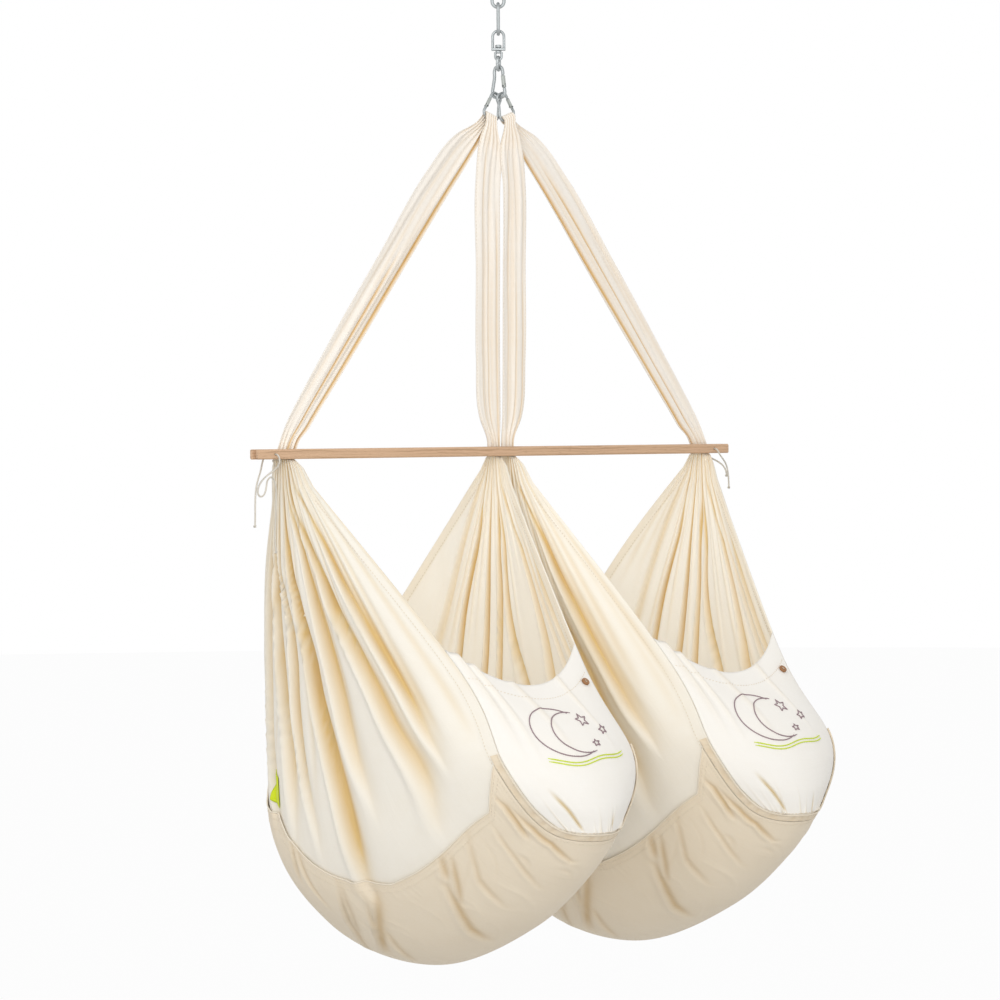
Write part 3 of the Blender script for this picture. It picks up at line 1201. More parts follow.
def side_tab(name, side):
    """Folded ribbon tab on the left wall."""
    grid = sheet_grid(side, span(*TAB_ACROSS, 17), span(*TAB_ALONG, 25))
    s, t = np.meshgrid(span(0, 1, 17), span(0, 1, 25), indexing="ij")
    lift = TAB_LIFT + 0.0012 * np.sin(s * math.pi) * np.sin(t * math.pi * 2) ** 2
    points = layer(grid, lift)
    outer = layer(grid, lift + 0.0006)
    piece = two_sided(name + "_tab", outer, layer(grid, lift - 0.0005), finish("lime"),
                      threads_of(points), np.zeros_like(s), np.zeros_like(s))
    rows = [(outer[1:-1, k], grid["normal"][1:-1, k]) for k in (2, -3)]
    return piece, points, rows


def on_panel(panel, place, height):
    """Points on a panel at a given height, for places in shares of its columns and rows."""
    surface, normal = panel
    rows, columns = surface.shape[:2]
    place = np.asarray(place, float)
    x = np.clip(place[:, 0], 0, 1) * (columns - 1)
    y = np.clip(place[:, 1], 0, 1) * (rows - 1)
    i, j = np.minimum(y.astype(int), rows - 2), np.minimum(x.astype(int), columns - 2)
    a, b = (y - i)[:, None], (x - j)[:, None]

    def blend(grid):
        near = grid[i, j] * (1 - b) + grid[i, j + 1] * b
        return near * (1 - a) + (grid[i + 1, j] * (1 - b) + grid[i + 1, j + 1] * b) * a
    bearing = blend(normal)
    bearing /= np.linalg.norm(bearing, axis=1, keepdims=True)
    return blend(surface) + bearing * height, bearing


# Thread drawing on a foot panel: its middle in shares of the panel, then metres from there. Arcs of the
# moon: place, radius, first and last degree. Stars: place and size. Hill: its ends and its two lines.
MOTIF_CENTRE = (0.5, 0.74)
MOON_ARCS = [(-0.02, 0.055, 52, 308), (0.0055, 0.0463, 69.5, 290.5)]
STARS = [(0.034, 0.026, 0.0135), (0.066, -0.004, 0.0105), (0.03, -0.026, 0.0088)]
HILL = (-0.07, 0.085)
HILL_DROPS = (-0.064, -0.072)


def embroidery(name, panel, thread):
    """A plain crescent moon, three stars and a low hill, in raised chain stitch on the panel."""
    surface = panel[0]
    centre = np.array(MOTIF_CENTRE)
    rows, columns = surface.shape[:2]
    i, j = int(centre[1] * rows), int(centre[0] * columns)
    wide = np.linalg.norm(surface[i, j + 1] - surface[i, j]) * (columns - 1)
    tall = np.linalg.norm(surface[i + 1, j] - surface[i, j]) * (rows - 1)

    def laid(points):
        run = lengths_along(points)
        places = np.linspace(0, run[-1], max(8, int(run[-1] / 0.0015)))
        return on_panel(panel, centre + resampled(points, run, places) / (wide, tall), thread * 0.25)[0]

    mauve = []
    for x, radius, start, end in MOON_ARCS:
        turn = np.radians(np.linspace(start, end, 60))
        mauve.append(np.stack([x + radius * np.cos(turn), radius * np.sin(turn)], axis=1))
    for x, y, size in STARS:
        turn = np.radians(90 + np.arange(10) * 36)
        reach = np.where(np.arange(10) % 2 == 0, size, size * 0.45)
        mauve.append(np.concatenate([np.stack([x + reach * np.cos(turn), y + reach * np.sin(turn)], axis=1),
                                     [[x, y + size]]]))
    hill = np.linspace(*HILL, 90)
    slope = 0.008 * np.sin(hill * 48) * np.cos(hill * 19)
    lime = [np.stack([hill, drop + slope], axis=1) for drop in HILL_DROPS]
    pieces = []
    for label, lines, colour in (("moon", mauve, "mauve_thread"), ("hill", lime, "lime_thread")):
        runs = []
        for k, line in enumerate(lines):
            path = laid(line)
            links = 1 + 0.22 * np.sin(lengths_along(path) * 2 * math.pi / 0.0032)
            links[:3] *= 0.6
            links[-3:] *= 0.6
            runs.append(tube(f"{name}_{label}_{k}", path, thread, finish(colour), sides=6, taper=links))
        pieces.append(joined(f"{name}_{label}", runs))
    return pieces


def basis_at(point, along, normal):
    """Turns a piece modelled about the origin so that its X runs along and its Z stands on a normal."""
    z = Vector(normal).normalized()
    x = (Vector(along) - z * Vector(along).dot(z)).normalized()
    y = z.cross(x)
    matrix = Matrix((x, y, z)).transposed().to_4x4()
    matrix.translation = Vector(point)
    return matrix


def placed(piece, matrix):
    piece.matrix_world = matrix
    return settled(piece)


def edit_select(piece, chosen):
    """Selects, in edit mode, the vertices that a test picks by their place."""
    select_only(piece)
    bpy.ops.object.mode_set(mode="EDIT")
    bpy.ops.mesh.select_mode(type="VERT")
    mesh = bmesh.from_edit_mesh(piece.data)
    for vertex in mesh.verts:
        vertex.select_set(bool(chosen(vertex.co)))
    mesh.select_flush_mode()
    bmesh.update_edit_mesh(piece.data)


def leave_edit():
    bpy.ops.object.mode_set(mode="OBJECT")


def add_primitive(kind, name, material, **sizes):
    bpy.ops.object.select_all(action="DESELECT")
    getattr(bpy.ops.mesh, "primitive_" + kind + "_add")(**sizes)
    piece = bpy.context.object
    piece.name = name
    piece.data.name = name
    piece.data.materials.append(material)
    return piece


def add_box(name, material, size, location=(0, 0, 0), turn=0.0):
    """A box with its place and size in its mesh."""
    piece = add_primitive("cube", name, material, size=1, location=location)
    piece.scale = size
    piece.rotation_euler = (0, 0, turn)
    return settled(piece)


def add_rod(name, material, radius, depth, location=(0, 0, 0), vertices=32, rotation=(0, 0, 0)):
    """A round rod with its place in its mesh."""
    return settled(add_primitive("cylinder", name, material, vertices=vertices, radius=radius, depth=depth,
                                 location=location, rotation=rotation))


def bevelled(piece, width, segments=3, angle=30):
    select_only(piece)
    modifier = piece.modifiers.new("edges", "BEVEL")
    modifier.width = width
    modifier.segments = segments
    modifier.limit_method = "ANGLE"
    modifier.angle_limit = math.radians(angle)
    bpy.ops.object.modifier_apply(modifier=modifier.name)
    return piece


def cut(piece, cutters):
    """Takes each cutter out of a piece."""
    for cutter in cutters:
        select_only(piece)
        modifier = piece.modifiers.new("cut", "BOOLEAN")
        modifier.operation = "DIFFERENCE"
        modifier.solver = "EXACT"
        modifier.object = cutter
        bpy.ops.object.modifier_apply(modifier=modifier.name)
        select_only(cutter)
        bpy.ops.object.delete()
    return piece


def smoothed(piece, angle=35):
    select_only(piece)
    bpy.ops.object.shade_smooth_by_angle(angle=math.radians(angle))
    return piece


# Wooden button, in metres, and its place in shares of the foot panel
BUTTON_RADIUS = 0.007
BUTTON_THICKNESS = 0.004
BUTTON_HOLE_OFF = 0.0014
BUTTON_HOLE_RADIUS = 0.00075
BUTTON_THREAD = 0.0009
DISH_RADIUS = 0.02
DISH_DEPTH = 0.0007
BUTTON_PLACE = (11 / 12, 10 / 11)


def wooden_button(name, panel):
    """Turned button with a dished face and four thread holes."""
    wood, off = finish("button_wood"), BUTTON_HOLE_OFF
    disc = add_rod(name, wood, BUTTON_RADIUS, BUTTON_THICKNESS, (0, 0, BUTTON_THICKNESS / 2), 48)
    bevelled(disc, 0.0009)
    bowl = add_primitive("uv_sphere", "bowl", wood, segments=48, ring_count=24, radius=DISH_RADIUS,
                         location=(0, 0, BUTTON_THICKNESS + DISH_RADIUS - DISH_DEPTH))
    cut(disc, [settled(bowl)])
    for x in (-off, off):
        for y in (-off, off):
            cut(disc, [add_rod("hole", wood, BUTTON_HOLE_RADIUS, BUTTON_THICKNESS * 3, (x, y, 0), 16)])
    smoothed(disc)
    threads = []
    for y in (-off, off):
        path = [(-off, y, 0.001), (-0.0013, y, 0.0034), (-0.0006, y, 0.0041), (0.0006, y, 0.0041),
                (0.0013, y, 0.0034), (off, y, 0.001)]
        threads.append(tube("thread", smooth_path(path, 0.0002), BUTTON_THREAD, finish("hem_thread")))
    thread = joined(name + "_thread", threads)
    point, normal = on_panel(panel, [BUTTON_PLACE], 0.0006)
    matrix = basis_at(point[0], (1, 0, 0), normal[0])
    return placed(disc, matrix), placed(thread, matrix)


class CRADLE_OT_cradles(bpy.types.Operator):
    """Adds both cradles: cloth, base layer, mattress, foot panel, band, tab, button, seams and embroidery"""

    bl_idname = "cradle.cradles"
    bl_label = "Cradles"

    def execute(self, context):
        sizes = context.scene.cradle_sizes
        for name, side in (("left", -1), ("right", 1)):
            body = name + "_cradle"
            cloth, cloth_points, cloth_rows = cradle_cloth(name, side)
            base, base_points, base_rows, base_edge = base_layer(name, side)
            bed, piping, bed_rows = mattress(name, side)
            panel, panel_points, panel_face, panel_rows = foot_panel(name, side)
            band, band_points, band_rows, band_edge = foot_band(name, side)
            tab, tab_points, tab_rows = side_tab(name, side)
            seams = {}
            for label, rows, slot in (("cloth", cloth_rows, "cotton"), ("base", base_rows, "base_cotton"),
                                      ("bed", bed_rows, "wadding"), ("panel", panel_rows, "panel_cotton"),
                                      ("band", band_rows, "base_cotton"), ("tab", tab_rows, "lime_cloth")):
                thread = finish("lime_thread" if label == "tab" else "hem_thread")
                seams[label] = stitches(f"{name}_{label}_stitches", rows, thread, sizes.stitch_length)
                finished(seams[label], body, slot)
            motif = embroidery(name, panel_face, sizes.embroidery_thread)
            disc, thread = wooden_button(name + "_button_disc", panel_face)
            finished(cloth, body, "cotton", body + "_cloth")
            finished(base, body, "base_cotton", name + "_base_layer")
            finished(base_edge, body, "base_cotton")
            finished(bed, body, "wadding", name + "_mattress")
            finished(piping, body, "wadding")
            finished(panel, body, "panel_cotton", name + "_foot_panel")
            finished(band, body, "base_cotton", name + "_foot_band")
            finished(band_edge, body, "base_cotton")
            finished(tab, body, "lime_cloth", name + "_side_tab")
            finished(disc, body, "button_wood", name + "_button")
            for piece in (*motif, thread):
                finished(piece, body, "panel_cotton")
            declare_sheet(cloth_points)
            declare_sheet(base_points)
            declare_sheet(panel_points)
            declare_sheet(band_points)
            declare_sheet(tab_points)
        return {"FINISHED"}


def strap_rows(side):
    """Places along a strap, from its inner foot over its hook to its outer foot: centre, across, facing,
    width and fold depth."""
    tilt = side * LOWER_HOOK_TILT
    along_hook = np.array([math.cos(UPPER_HOOK_TURN), math.sin(UPPER_HOOK_TURN), 0])
    spread = along_hook * side * LOWER_HOOK_SPACING / 2
    saddle = spread + (side * LOWER_HOOK_PITCH * math.sin(LOWER_HOOK_TILT), 0, BAR_Z + STRAP_DROP)
    saddle_across = np.array([math.cos(tilt), 0, math.sin(tilt)])
    saddle_up = np.array([-math.sin(tilt), 0, math.cos(tilt)])
    wrap = LOWER_HOOK_WIRE / 2 + CLEARANCE * 3 + STRAP_CLOTH / 2 + STRAP_FOLD * LEG_FOLD_SHARES[7]
    foot_z = GATHER_Z + GATHER_CROWN + CLEARANCE
    legs = []
    for outer in (False, True):
        leg = []
        facing = 1 if outer else -1
        for i, share in enumerate(LEG_STATION_SHARES):
            width = (OUTER_WIDTH_SHARES if outer else INNER_WIDTH_SHARES)[i] * STRAP_WIDTH
            beside = INNER_GATHER if i < 2 else width / 2 + CLEARANCE * 2
            straight = side * (OUTER_GATHER + (side * saddle[0] - OUTER_GATHER) * share if outer else beside)
            near_hook = smoothstep(share, LEG_STATION_SHARES[5], 1)
            straight += side * (OUTER_BOW[i] if outer else 0)
            pull = 0 if outer else near_hook
            slope = math.atan2(side * OUTER_GATHER - saddle[0], STRAP_DROP) if outer and i >= 2 else 0
            angle = slope + (tilt - slope) * near_hook
            centre = (straight + (saddle[0] - straight) * pull, (saddle[1] + facing * wrap) * share,
                      foot_z if i == 0 else BAR_Z + (saddle[2] - BAR_Z) * share)
            leg.append((*centre, math.cos(angle), 0, math.sin(angle), 0, facing, 0, width,
                        LEG_FOLD_SHARES[i] * STRAP_FOLD))
        legs.append(leg)
    over = []
    for angle in np.linspace(0, math.pi, 7):
        facing = np.array([0, -math.cos(angle), 0]) + saddle_up * math.sin(angle)
        over.append((*(saddle + facing * wrap), *saddle_across, *facing, INNER_WIDTH_SHARES[7] * STRAP_WIDTH,
                     LEG_FOLD_SHARES[7] * STRAP_FOLD))
    return np.array([*legs[0], *over, *legs[1][::-1]])


# Long creases of a strap's inner leg: place across, half width across, depth in metres, shade
INNER_LEG_CREASES = [(0.3, 0.045, 0.0022, 0.36), (0.56, 0.04, 0.0022, 0.4), (0.86, 0.045, 0.0022, 0.45)]
FAINT_CREASES = 7
FAINT_SHADE = 0.2


def strap_creases(side, run, place, over):
    """Long creases of a strap's inner and outer legs, which part over the hook: for each leg the height
    and the strength of the warm shade. Faint creases end on their way, the others run to the foot."""
    rng = random.Random(300 + side)
    drawn = [np.zeros_like(run), np.zeros_like(run)]
    shade = [np.zeros_like(run), np.zeros_like(run)]
    creases = [[(rng.uniform(0.1, 0.9), rng.uniform(0.05, 0.08), rng.uniform(0.0006, 0.0014), FAINT_SHADE)
                for _ in range(FAINT_CREASES)] for _ in range(2)]
    creases[0] += INNER_LEG_CREASES
    creases[1] += [(0.5 - side * 0.4, 0.055, 0.003, 1.0), (0.5 - side * 0.06, 0.04, 0.003, 0.85)]
    for leg in (0, 1):
        for at, wide, deep, tone in creases[leg]:
            bend, high = rng.uniform(-0.02, 0.02), rng.uniform(0.1, 0.4)
            low = 0.0 if tone > 0.9 else rng.uniform(0, 0.5)
            share = np.clip((over - run) / over if leg == 0 else (run - over) / (1 - over), 0, 1)
            hold = smoothstep(share, low - 0.1, low + 0.1)
            if tone == FAINT_SHADE:
                hold *= 1 - smoothstep(share, low + high, low + high + 0.3)
            mark = np.exp(-np.abs((place - at - bend * np.sin(share * 3)) / wide) ** 1.6) * hold
            drawn[leg] = drawn[leg] + mark * deep
            shade[leg] = np.maximum(shade[leg], mark * tone)
    return drawn, shade


def strap(name, side):
    """Long cloth strap over its hook, smooth on its legs and drawn into pleats at hook and feet."""
    rows = strap_rows(side)
    keys = lengths_along(rows[:, :3])
    places = np.unique(np.concatenate([np.linspace(0, keys[-1], 200), np.linspace(keys[8], keys[14], 30)]))
    fine = curve_at(keys, rows, places)
    centre, across, facing = fine[:, :3], fine[:, 3:6], fine[:, 6:9]
    across /= np.linalg.norm(across, axis=1, keepdims=True)
    facing /= np.linalg.norm(facing, axis=1, keepdims=True)
    width, fold = fine[:, 9], np.maximum(fine[:, 10], 0.0008)
    run, place = np.meshgrid(places / keys[-1], np.linspace(0, 1, 181), indexing="ij")
    drift = 0.012 * np.sin(run * 19 + place * 5) + 0.01 * np.sin(run * 43 + side)
    phase = np.abs(((place + drift * np.sin(place * math.pi)) * STRAP_FOLDS * 2) % 2 - 1)
    wave = 1 - 2 * (0.5 * phase + 0.5 * (0.5 - 0.5 * np.cos(np.pi * phase)))
    over = (keys[8] + keys[14]) / 2 / keys[-1]
    bunched = np.exp(-((np.abs(run - over) / 0.045) ** 3)) + np.exp(-((run / 0.03) ** 2))
    bunched = np.clip(bunched + np.exp(-(((1 - run) / 0.03) ** 2)), 0, 1)
    first_leg = 1 - smoothstep(run, over - 0.02, over + 0.02)
    drawn, shade = strap_creases(side, run, place, over)
    soft = 0.3 * np.sin(place * 9.0 + side + 1.5 * np.sin(run * 9)) + 0.12 * np.sin(place * 23 + run * 11)
    out = wave * fold[:, None] * (0.07 + 0.93 * bunched) + soft * fold[:, None] * (1 - bunched)
    out += (drawn[1] * (1 - first_leg) - drawn[0] * first_leg) * (1 - 0.7 * bunched)
    gathered = 0.35 * bunched
    outer_tint = np.maximum(shade[0] * first_leg, gathered * np.clip(-wave, 0, 1))
    inner_tint = np.maximum(shade[1] * (1 - first_leg), gathered * np.clip(wave, 0, 1))
    points = (centre[:, None] + across[:, None] * ((place - 0.5) * (width[:, None] - STRAP_CLOTH))[..., None]
              + facing[:, None] * out[..., None])
    normal = np.broadcast_to(facing[:, None], points.shape)
    outer, inner = points + normal * 0.0011, points - normal * 0.0011
    piece = two_sided(name + "_strap_cloth", outer, inner, finish("strap_cotton"),
                      threads_of(points)[..., ::-1], outer_tint, inner_tint)
    rows = [(outer[6:-6, k], normal[6:-6, k]) for k in (4, -5)]
    seams = stitches(name + "_strap_stitches", rows, finish("hem_thread"), width=0.0008)
    return piece, points, seams


class CRADLE_OT_straps(bpy.types.Operator):
    """Adds the two long cloth straps that carry the spreader bar"""

    bl_idname = "cradle.straps"
    bl_label = "Straps"

    def execute(self, context):
        for name, side in (("left", -1), ("right", 1)):
            piece, points, seams = strap(name, side)
            finished(piece, "suspension", "cotton", name + "_strap")
            finished(seams, "suspension", "cotton")
            declare_sheet(points)
        return {"FINISHED"}


# Cuts in the spreader bar, in metres
SLOT_WIDTH = 0.010
SLOT_MARGIN = 0.011
TIE_HOLE_RADIUS = 0.0021
LONG_EDGE_BEVEL = 0.003


class CRADLE_OT_spreader_bar(bpy.types.Operator):
    """Adds the beech bar with its middle slot, forked ends and tie holes"""

    bl_idname = "cradle.spreader_bar"
    bl_label = "Spreader bar"

    def execute(self, context):
        length, depth, height = BAR_HIGH - BAR_LOW
        bar = add_box("spreader_bar_piece", finish("beech"), (length, depth, height), (0, 0, BAR_Z))
        bpy.ops.object.mode_set(mode="EDIT")
        bpy.ops.mesh.select_mode(type="EDGE")
        bpy.ops.mesh.select_all(action="DESELECT")
        mesh = bmesh.from_edit_mesh(bar.data)
        for edge in mesh.edges:
            a, b = (v.co for v in edge.verts)
            edge.select_set(bool(abs(a.x - b.x) > length / 2))
        bmesh.update_edit_mesh(bar.data)
        bpy.ops.mesh.bevel(offset=LONG_EDGE_BEVEL, segments=5)
        leave_edit()
        fork_foot = OUTER_GATHER - OUTER_BUNDLE / 2 - SLOT_MARGIN
        middle = INNER_GATHER + INNER_BUNDLE / 2 + SLOT_MARGIN
        cutters = []
        for x0, x1 in ((-length / 2 - 0.01, -fork_foot), (fork_foot, length / 2 + 0.01), (-middle, middle)):
            cutters.append(add_box("slot", finish("beech"), (x1 - x0, SLOT_WIDTH, height * 2),
                                   ((x0 + x1) / 2, 0, BAR_Z)))
        for x in (-TIE_HOLE, TIE_HOLE):
            cutters.append(add_rod("hole", finish("beech"), TIE_HOLE_RADIUS, depth * 2, (x, 0, BAR_Z),
                                   rotation=(math.pi / 2, 0, 0)))
        cut(bar, cutters)
        bevelled(bar, 0.0007, 2, 50)
        smoothed(bar, 30)
        finished(bar, "suspension", "beech", "spreader_bar")
        return {"FINISHED"}


# Steel parts, in metres
UP = np.array([0.0, 0.0, 1.0])
PLATE_DIAMETER = 0.070
PLATE_THICKNESS = 0.005
SCREW_CIRCLE_RADIUS = 0.025
SCREW_HOLE_DIAMETER = 0.005
EYE_Z = -0.029
EYE_WIRE = 0.006
EYE_WIDTH = 0.020
LINK_WIRE = 0.006
LINK_PITCH = 0.054
LINK_WIDTH = 0.021
YOKE_WIRE = 0.005
YOKE_HEIGHT = 0.0325
YOKE_WIDTH = 0.020
CROSS_PIECE = (0.025, 0.009, 0.005)
SWIVEL_SHANK = 0.005
SWIVEL_HEAD = (0.011, 0.005)
SWIVEL_EYE_WIRE = 0.0044
SWIVEL_EYE_DROP = 0.016
SWIVEL_EYE_WIDTH = 0.011
RING_WIRE = 0.005
RING_PITCH = 0.0235
RING_WIDTH = 0.016
UPPER_HOOK_WIRE = 0.006
UPPER_HOOK_PITCH = 0.0535
UPPER_HOOK_WIDTH = 0.025
RIVET_DIAMETER = 0.002
TONGUE_THICKNESS = 0.0022
CHAIN_TURN = math.radians(-40)
BEND_STEPS = 28


def hung_on(support_z, support_wire, wire_size):
    return support_z + support_wire / 2 + wire_size / 2 + CLEARANCE


UPPER_LINK_TOP = hung_on(EYE_Z, EYE_WIRE, LINK_WIRE)
UPPER_LINK_BOTTOM = UPPER_LINK_TOP - LINK_PITCH
LOWER_LINK_TOP = hung_on(UPPER_LINK_BOTTOM, LINK_WIRE, LINK_WIRE)
LOWER_LINK_BOTTOM = LOWER_LINK_TOP - LINK_PITCH
YOKE_TOP = hung_on(LOWER_LINK_BOTTOM, LINK_WIRE, YOKE_WIRE)
CROSS_PIECE_Z = YOKE_TOP - YOKE_HEIGHT
SWIVEL_EYE_BOTTOM = CROSS_PIECE_Z - CROSS_PIECE[2] / 2 - SWIVEL_EYE_DROP
RING_TOP = hung_on(SWIVEL_EYE_BOTTOM, SWIVEL_EYE_WIRE, RING_WIRE)
RING_BOTTOM = RING_TOP - RING_PITCH
UPPER_HOOK_TOP = hung_on(RING_BOTTOM, RING_WIRE, UPPER_HOOK_WIRE)
UPPER_HOOK_BOTTOM = UPPER_HOOK_TOP - UPPER_HOOK_PITCH
LOWER_HOOK_TOP = hung_on(UPPER_HOOK_BOTTOM, UPPER_HOOK_WIRE, LOWER_HOOK_WIRE)

# Snap hook outline: across in shares of half its width and down in shares of its pitch
HOOK_OUTLINE_SHARES = [
    (0.7, -0.27), (0.66, -0.14), (0.44, -0.02), (0, 0), (-0.44, -0.02), (-0.66, -0.14),
    (-0.66, -0.34), (-0.86, -0.62), (-1, -0.84), (-0.84, -0.965), (-0.45, -1), (0, -1),
    (0.45, -1), (0.84, -0.965), (1, -0.84), (0.93, -0.72),
]
PIVOT_SHARES = (0.88, -0.64)


def turned(angle):
    return np.array([math.cos(angle), math.sin(angle), 0])


LINK_FACE = turned(CHAIN_TURN)
LINK_EDGE = turned(CHAIN_TURN + math.pi / 2)
RING_FACE = turned((CHAIN_TURN + UPPER_HOOK_TURN) / 2 + math.pi / 2)
UPPER_HOOK_FACE = turned(UPPER_HOOK_TURN)


def wire(name, path, diameter, material, closed=False, swell=None):
    """Round steel wire: a curve with a round section, made into a mesh."""
    bpy.ops.object.select_all(action="DESELECT")
    bpy.ops.curve.primitive_bezier_curve_add()
    piece = bpy.context.object
    curve = piece.data
    curve.dimensions = "3D"
    curve.splines.clear()
    spline = curve.splines.new("POLY")
    spline.points.add(len(path) - 1)
    spline.points.foreach_set("co", np.c_[path, np.ones(len(path))].ravel())
    if swell is not None:
        spline.points.foreach_set("radius", swell)
    spline.use_cyclic_u = closed
    curve.bevel_depth = diameter / 2
    curve.bevel_resolution = 6
    curve.use_fill_caps = not closed
    curve.materials.append(material)
    bpy.ops.object.convert(target="MESH")
    piece = settled(bpy.context.object)
    piece.name = name
    piece.data.polygons.foreach_set("use_smooth", [True] * len(piece.data.polygons))
    return piece


def link_path(top, bottom, width, face):
    """Closed path of a link with straight sides and round ends."""
    radius = width / 2
    turn = np.linspace(0, math.pi, BEND_STEPS)
    straight = np.linspace(0, 1, 12)[1:-1, None]
    upper = np.outer(np.cos(turn) * radius, face) + np.outer(top - radius + np.sin(turn) * radius, UP)
    lower = np.outer(-np.cos(turn) * radius, face) + np.outer(bottom + radius - np.sin(turn) * radius, UP)
    down = upper[-1] + (lower[0] - upper[-1]) * straight
    back_up = lower[-1] + (upper[0] - lower[-1]) * straight
    return np.concatenate([upper, down, lower, back_up])


def bend_path(bend_z, leg_z, width, face):
    """U-shaped bend with its legs ending at one height."""
    radius = width / 2
    turn = np.linspace(math.pi, 0, BEND_STEPS)
    way = math.copysign(1, leg_z - bend_z)
    bend = np.outer(np.cos(turn) * radius, face) + np.outer(bend_z + way * radius * (1 - np.sin(turn)), UP)
    ends = [np.append(-radius * face[:2], leg_z), np.append(radius * face[:2], leg_z)]
    return np.concatenate([ends[:1], bend, ends[1:]])


def chain_link(name, top, bottom, width, diameter, face):
    """Link of round wire with a weld bead half-way down one side."""
    path = link_path(top, bottom, width, face)
    weld = path[:, 2] - (top + bottom) / 2
    on_side = (path @ face) < 0
    swell = 1 + 0.13 * np.exp(-((weld / (diameter * 0.22)) ** 2)) * on_side
    return wire(name, path, diameter, finish("steel"), closed=True, swell=swell)


def add_disc(name, radius, depth, z, edge, material="steel"):
    return bevelled(add_rod(name, finish(material), radius, depth, (0, 0, z), 64), edge)


def add_block(name, size, edge, material="steel"):
    return bevelled(add_box(name, finish(material), size), edge)


def pan_head_screw(name, place):
    """Cross-slotted screw head that fills its hole from below."""
    head = add_primitive("uv_sphere", name, finish("gate_steel"), segments=40, ring_count=20, radius=0.0046)
    head.scale = (1, 1, 0.52)
    settled(head)
    edit_select(head, lambda co: co.z > 0.0004)
    bpy.ops.mesh.delete(type="VERT")
    leave_edit()
    edit_select(head, lambda co: co.z > -0.0004)
    bpy.ops.mesh.select_all(action="SELECT")
    bpy.ops.mesh.region_to_loop()
    bpy.ops.mesh.edge_face_add()
    bpy.ops.mesh.select_all(action="SELECT")
    bpy.ops.mesh.normals_make_consistent(inside=False)
    leave_edit()
    cut(head, [add_box("slot", finish("gate_steel"), (0.0046, 0.0008, 0.0022), (0, 0, -0.0023), turn)
               for turn in (0, math.pi / 2)])
    shank = add_rod(name + "_shank", finish("gate_steel"), 0.0021, PLATE_THICKNESS - 0.0006,
                    (0, 0, PLATE_THICKNESS / 2), 24)
    screw = joined(name, [smoothed(head), smoothed(shank)])
    screw.location = (place[0], place[1], -PLATE_THICKNESS - 0.0001)
    return settled(screw)


class CRADLE_OT_ceiling_plate(bpy.types.Operator):
    """Adds the round ceiling plate with its eye and two screws"""

    bl_idname = "cradle.ceiling_plate"
    bl_label = "Ceiling plate"

    def execute(self, context):
        plate = add_disc("ceiling_plate_disc", PLATE_DIAMETER / 2, PLATE_THICKNESS, -PLATE_THICKNESS / 2,
                         0.0009)
        screws = [side * SCREW_CIRCLE_RADIUS * LINK_FACE for side in (-1, 1)]
        cut(plate, [add_rod("hole", finish("steel"), SCREW_HOLE_DIAMETER / 2, PLATE_THICKNESS * 4,
                            (place[0], place[1], 0)) for place in screws])
        smoothed(plate)
        eye = wire("ceiling_eye", bend_path(EYE_Z, -PLATE_THICKNESS * 0.7, EYE_WIDTH, LINK_EDGE), EYE_WIRE,
                   finish("steel"))
        collars = []
        for side in (-1, 1):
            place = side * LINK_EDGE * EYE_WIDTH / 2
            collar = add_primitive("torus", "weld", finish("steel"), major_radius=EYE_WIRE / 2,
                                   minor_radius=0.0011, major_segments=40, minor_segments=12,
                                   location=(place[0], place[1], -PLATE_THICKNESS))
            collars.append(smoothed(settled(collar), 80))
        plate = joined("ceiling_plate_piece", [plate, eye, *collars])
        finished(plate, "ceiling", "steel", "ceiling_plate")
        for k, place in enumerate(screws):
            finished(pan_head_screw(f"ceiling_screw_{k + 1}", place), "ceiling", "steel")
        return {"FINISHED"}


